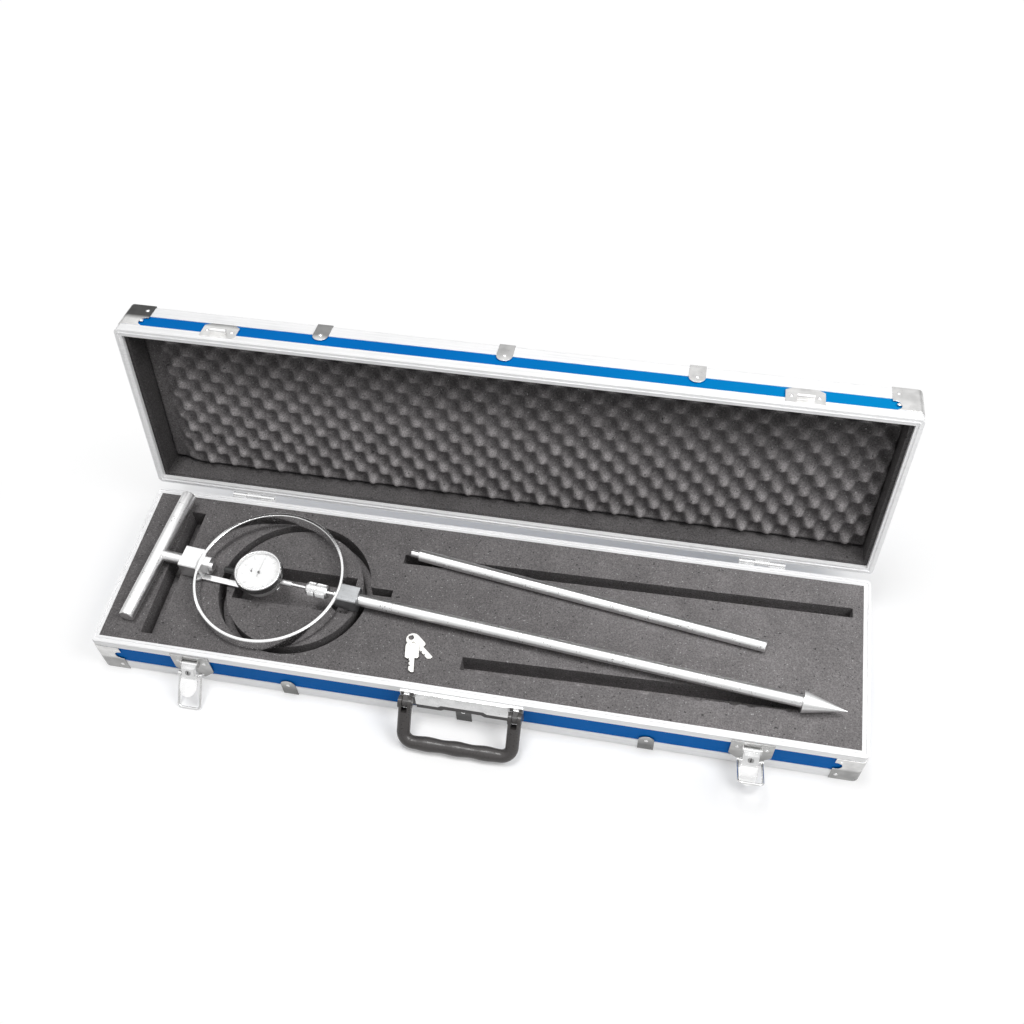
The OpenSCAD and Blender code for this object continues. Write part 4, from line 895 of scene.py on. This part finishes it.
# %% Hinge screws
SCREW_LINE, LEAF_FACE = 0.0155, 0.0015
SCREW_R, SCREW_RISE, SCREW_PLACES = 0.0024, 0.0008, (1 / 6, 1 / 2, 5 / 6)
for name, turned, side in (("hinge_base_leaves", Matrix(), -1), ("hinge_lid_leaves", shut_to_open, 1)):
    to_shut = turned.inverted()
    seats = []
    for leaf in islands(name):
        shut = [to_shut @ p for p in leaf]
        x0, x1 = min(p.x for p in shut), max(p.x for p in shut)
        face_y = min(p.y for p in shut) + LEAF_FACE
        for part in SCREW_PLACES:
            spot = Vector((x0 + part * (x1 - x0), face_y, HINGE.z + side * SCREW_LINE))
            seats.append((turned @ spot, turned.to_3x3() @ Vector((0, 1, 0))))
    mesh = heads.grow(name + "_screws", rivet_metal, head_points(name, seats),
                      Radius=SCREW_R, Rise=SCREW_RISE)
    add_piece(name + "_screws", mesh, rivet_metal, body_of[name])
    print(name, len(seats), "screws")

# %% [markdown]
# ## Bars in a ring
# A dial's ticks, the ribs of a bezel and the knurl of an anvil are all short bars set in a ring.
# One tree makes them: it puts points on a circle and turns a bar to each. Ticks lie flat with
# their length along the radius. Ribs stand along the axis, turned half a corner so that an edge
# looks out.

# %% Ring of bars
ring = Tree("ring of bars", {"Count": 100, "Radius": 0.02, "Wide": 0.001, "Deep": 0.001, "Long": 0.001,
                             "Twist": 0.0})
line = ring.node("GeometryNodeMeshLine", {"mode": "OFFSET"}, Count=ring.input("Count"), Offset=(0, 0, 0))
number = ring.node("GeometryNodeInputIndex")
angle = ring.maths("MULTIPLY", ring.maths("DIVIDE", number, ring.input("Count")), 2 * math.pi)
spot = ring.vector(ring.maths("MULTIPLY", ring.maths("SINE", angle), ring.input("Radius")),
                   ring.maths("MULTIPLY", ring.maths("COSINE", angle), ring.input("Radius")), 0.0)
placed = ring.node("GeometryNodeSetPosition", Geometry=line, Position=spot)
bar = ring.node("GeometryNodeMeshCube",
                Size=ring.vector(ring.input("Wide"), ring.input("Deep"), ring.input("Long")))
turned = ring.vector(0.0, 0.0, ring.maths("SUBTRACT", ring.input("Twist"), angle))
ring.finish(ring.node("GeometryNodeInstanceOnPoints", Points=placed, Instance=bar, Rotation=turned))

# %% [markdown]
# The dial has a hundred divisions, one for each hundredth of a millimetre, with a longer tick at
# every fifth and tenth, and plain numbers at the tens. The small counter dial has ten ticks. The
# marks are real, raised by a few hundredths of a millimetre as screen print is. Their ink is pale,
# because in the photograph the dial is almost plain white.

# %% Dial marks
PRINT, TICKS, NUMBERS = 0.00004, 100, 10
COUNTER_AT, COUNTER_R = Vector((-0.011, 0, 0)), 0.0052
TICK_EDGE, NUMBER_R, NUMBER_HIGH = dial_edge - 0.0012, dial_edge - 0.0066, 0.0036


def ticks(name, count, outer, size, width, centre=Vector()):
    """A ring of ticks that point inwards from a circle."""
    mesh = ring.grow(name, grey_ink, Count=count, Radius=outer - size / 2, Wide=width, Deep=size,
                     Long=PRINT)
    mesh.transform(Matrix.Translation(centre))
    return mesh


def dial_number(text, radius, turn, height):
    """A plain number on the dial, upright for a reader, at a clockwise turn from the top."""
    curve = bpy.data.curves.new("number", "FONT")
    curve.body = text
    curve.size = height
    curve.align_x, curve.align_y = "CENTER", "CENTER"
    curve.extrude = PRINT / 2
    curve.resolution_u = 3
    ob = bpy.data.objects.new("number", curve)
    scene.collection.objects.link(ob)
    mesh = bpy.data.meshes.new_from_object(ob.evaluated_get(bpy.context.evaluated_depsgraph_get()))
    bpy.data.objects.remove(ob)
    mesh.transform(Matrix.Translation((radius * math.sin(turn), radius * math.cos(turn), 0)))
    return mesh


marks = [ticks("ticks", TICKS, TICK_EDGE, 0.0016, 0.00018),
         ticks("fives", TICKS // 5, TICK_EDGE, 0.0024, 0.00026),
         ticks("tens", TICKS // 10, TICK_EDGE, 0.0032, 0.00036),
         ticks("counter", NUMBERS, COUNTER_R, 0.0011, 0.0002, COUNTER_AT)]
marks += [dial_number(str(TICKS // NUMBERS * i), NUMBER_R, 2 * math.pi * i / NUMBERS, NUMBER_HIGH)
          for i in range(NUMBERS)]
dial_marks = joined("dial_marks", *marks)
dial_marks.transform(gauge_place @ Matrix.Translation((0, 0, dial_top + PRINT / 2)))
add_piece("dial_marks", dial_marks, grey_ink, body_of["gauge_dial"])
print("dial marks", len(dial_marks.polygons), "faces")

# %% [markdown]
# The main hand is a slim pale needle with a short tail, on a dark round boss. Together they stand
# for the solid hand, which is wider so that the motion checks can see it. The needle is an outline
# pushed to its thickness, and the boss is an outline spun about its axis.

# %% Needle
def lathe(name, outline, steps=32):
    """A closed round mesh about Z from (radius, height) points, first and last on the axis."""
    b = bmesh.new()
    line = [b.verts.new((r, 0, z)) for r, z in outline]
    edges = [b.edges.new(pair) for pair in zip(line, line[1:])]
    bmesh.ops.spin(b, geom=line + edges, cent=(0, 0, 0), axis=(0, 0, 1), angle=2 * math.pi, steps=steps)
    bmesh.ops.remove_doubles(b, verts=b.verts, dist=WELD / 10)
    bmesh.ops.recalc_face_normals(b, faces=b.faces)
    return as_mesh(b, name)


def pushed(name, corners, way):
    """A closed flat piece: one face on the corners, pushed along a direction."""
    b = bmesh.new()
    face = b.faces.new([b.verts.new(corner) for corner in corners])
    far_side = bmesh.ops.extrude_face_region(b, geom=[face])["geom"]
    bmesh.ops.translate(b, verts=[v for v in far_side if isinstance(v, bmesh.types.BMVert)], vec=way)
    bmesh.ops.recalc_face_normals(b, faces=b.faces)
    return as_mesh(b, name)


hand_low, hand_high = reach("gauge_pointer", outward, dial_at)
NEEDLE_TAIL, TAIL_HALF, NEEDLE_HALF, TIP_HALF, NEEDLE_THICK = 0.007, 0.00064, 0.0004, 0.00008, 0.0003
SHAFT_R, BOSS_R, BOSS_TOP_R, BOSS_LIP = 0.0008, 0.0018, 0.0013, 0.0003
needle_z = hand_high - 0.0006
boss_low = needle_z - 0.0002
tip = dial_edge - 0.0045
blade = pushed("blade", [(-TAIL_HALF, -NEEDLE_TAIL, needle_z), (TAIL_HALF, -NEEDLE_TAIL, needle_z),
                         (NEEDLE_HALF, 0, needle_z), (TIP_HALF, tip, needle_z),
                         (-TIP_HALF, tip, needle_z), (-NEEDLE_HALF, 0, needle_z)], (0, 0, NEEDLE_THICK))
boss = lathe("boss", [(0, hand_low), (SHAFT_R, hand_low), (SHAFT_R, boss_low), (BOSS_R, boss_low),
                      (BOSS_R, hand_high - BOSS_LIP), (BOSS_TOP_R, hand_high), (0, hand_high)])
for name, mesh, material in (("needle", blade, grey_ink), ("needle_boss", boss, ink_black)):
    mesh.transform(gauge_place)
    add_piece(name, mesh, material, "pointer", ["gauge_pointer"])
    print(name, len(mesh.polygons), "faces")

# %% [markdown]
# Fingers turn the bezel by fine ribs round its side, and the anvil by a straight knurl in two
# bands. The ribs of the bezel are dark, which leaves a dark line under its bright lip.

# %% Ribs and knurls
def ribs(name, count, radius, length, material, body, place):
    """A ring of ribs whose corners meet, with their middles on the given radius."""
    corner = 2 * math.pi * radius / count
    side = corner / math.sqrt(2)
    mesh = ring.grow(name, material, Count=count, Radius=radius, Wide=side, Deep=side, Long=length,
                     Twist=math.pi / 4)
    mesh.transform(place)
    add_piece(name, mesh, material, body)
    print(name, count, "ribs")


bezel_low, bezel_high = reach("gauge_bezel", outward, dial_at)
bezel_r = widest("gauge_bezel", outward, dial_at)
BEZEL_LIP, BEZEL_RIBS, RIB_SUNK = 0.0012, 108, 0.0001
ribs("bezel_ribs", BEZEL_RIBS, bezel_r - RIB_SUNK, bezel_high - bezel_low - BEZEL_LIP, dark_steel, "bezel",
     gauge_place @ Matrix.Translation((0, 0, (bezel_low + bezel_high - BEZEL_LIP) / 2)))

axis_at = dial_at - outward * 0.01
anvil_start = reach("anvil", ahead, axis_at)[0]
anvil_r = widest("anvil", ahead, axis_at)
KNURL_RIBS, KNURL_SUNK = 44, 0.00035
for name, first, last in (("anvil_knurl_near", 0.003, 0.012), ("anvil_knurl_far", 0.014, 0.027)):
    middle = axis_at + ahead * (anvil_start + (first + last) / 2)
    ribs(name, KNURL_RIBS, anvil_r - KNURL_SUNK, last - first, block_steel, body_of["anvil"],
         Matrix.Translation(middle) @ gauge_turn @ TO_AXIS)

# %% [markdown]
# ## Threads
# A screw thread is a ridge that climbs round a bar. A spiral curve with a small four-sided section
# swept along it gives one, and the same tree serves each stud.

# %% Thread on the studs
thread = Tree("thread", {"Turns": 8.0, "Radius": 0.0048, "Height": 0.012, "Ridge": 0.0004})
spiral = thread.node("GeometryNodeCurveSpiral", Resolution=24, Rotations=thread.input("Turns"),
                     Start_Radius=thread.input("Radius"), End_Radius=thread.input("Radius"),
                     Height=thread.input("Height"))
section = thread.node("GeometryNodeCurvePrimitiveCircle", Resolution=4, Radius=thread.input("Ridge"))
thread.finish(thread.node("GeometryNodeCurveToMesh", Curve=spiral, Profile_Curve=section, Fill_Caps=True))


def threaded(name, start, way, radius, length, pitch, material, like):
    """A thread on a bar that starts at a point and runs along a direction."""
    coil = thread.grow(name, material, Turns=length / pitch, Radius=radius, Height=length)
    coil.transform(Matrix.Translation(start) @ way.to_track_quat("Z", "Y").to_matrix().to_4x4())
    add_piece(name, coil, material, body_of[like])
    print(name, round(length / pitch, 1), "turns")


stud = {m["name"]: m for m in frame["record"]["mounts"]}["extension_stud"]
stud_way = Vector(stud["axis"])
stud_r, stud_l = stud["dims"]["r_mm"] / 1000, stud["dims"]["length_mm"] / 1000
STUD_PITCH, STUD_END, STUD_SUNK = 0.0015, 0.001, 0.0001
threaded("stud_thread", Vector(stud["pos_m"]) - stud_way * (stud_l / 2 - STUD_END), stud_way,
         stud_r - STUD_SUNK, stud_l - 2 * STUD_END, STUD_PITCH, extension_steel, "extension_rod")
STEM_R, STEM_PITCH, STEM_BARE = 0.0075, 0.0018, 0.003
stem_from = reach("cross_handle", ahead, axis_at)[1] + STEM_BARE
stem_to = reach("upper_block", ahead, axis_at)[0]
threaded("stem_thread", axis_at + ahead * stem_from, ahead, STEM_R, stem_to - stem_from, STEM_PITCH,
         rod_steel, "handle_stem")

# %% [markdown]
# ## Pad under the handle
# Below the handle's cover plate a black moulded pad makes a dark band. It fills the
# space between the case's front and the face of the plate.

# %% Handle pad
cover = [v.co for v in nodes["handle_cover"].data.vertices]
wide, front, low = max(v.x for v in cover), min(v.y for v in cover), min(v.z for v in cover)
PAD_DROP, PAD_STEP, STEP_HALF, STEP_SLOPE = 0.0095, 0.004, 0.024, 0.004
PAD_LAP, PAD_SET_BACK, PAD_THICK = 0.005, 0.0008, 0.0036
pad_z, step_z, foot = low - PAD_DROP, low - PAD_DROP + PAD_STEP, STEP_HALF + STEP_SLOPE
edge = [(-wide, low + PAD_LAP), (-wide, pad_z), (-foot, pad_z), (-STEP_HALF, step_z),
        (STEP_HALF, step_z), (foot, pad_z), (wide, pad_z), (wide, low + PAD_LAP)]
pad_mesh = pushed("handle_pad", [(x, front + PAD_SET_BACK, z) for x, z in edge], (0, PAD_THICK, 0))
add_piece("handle_pad", pad_mesh, pad_black, body_of["handle_cover"])
print("handle pad", round(wide * 2000), "mm wide")

# %% Finish
looks_low, looks_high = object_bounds()
past = [(a - b) * 1000 for a, b in zip((*cad_low, *looks_high), (*looks_low, *cad_high))]
print("size difference, mm", [round(p, 2) for p in past])
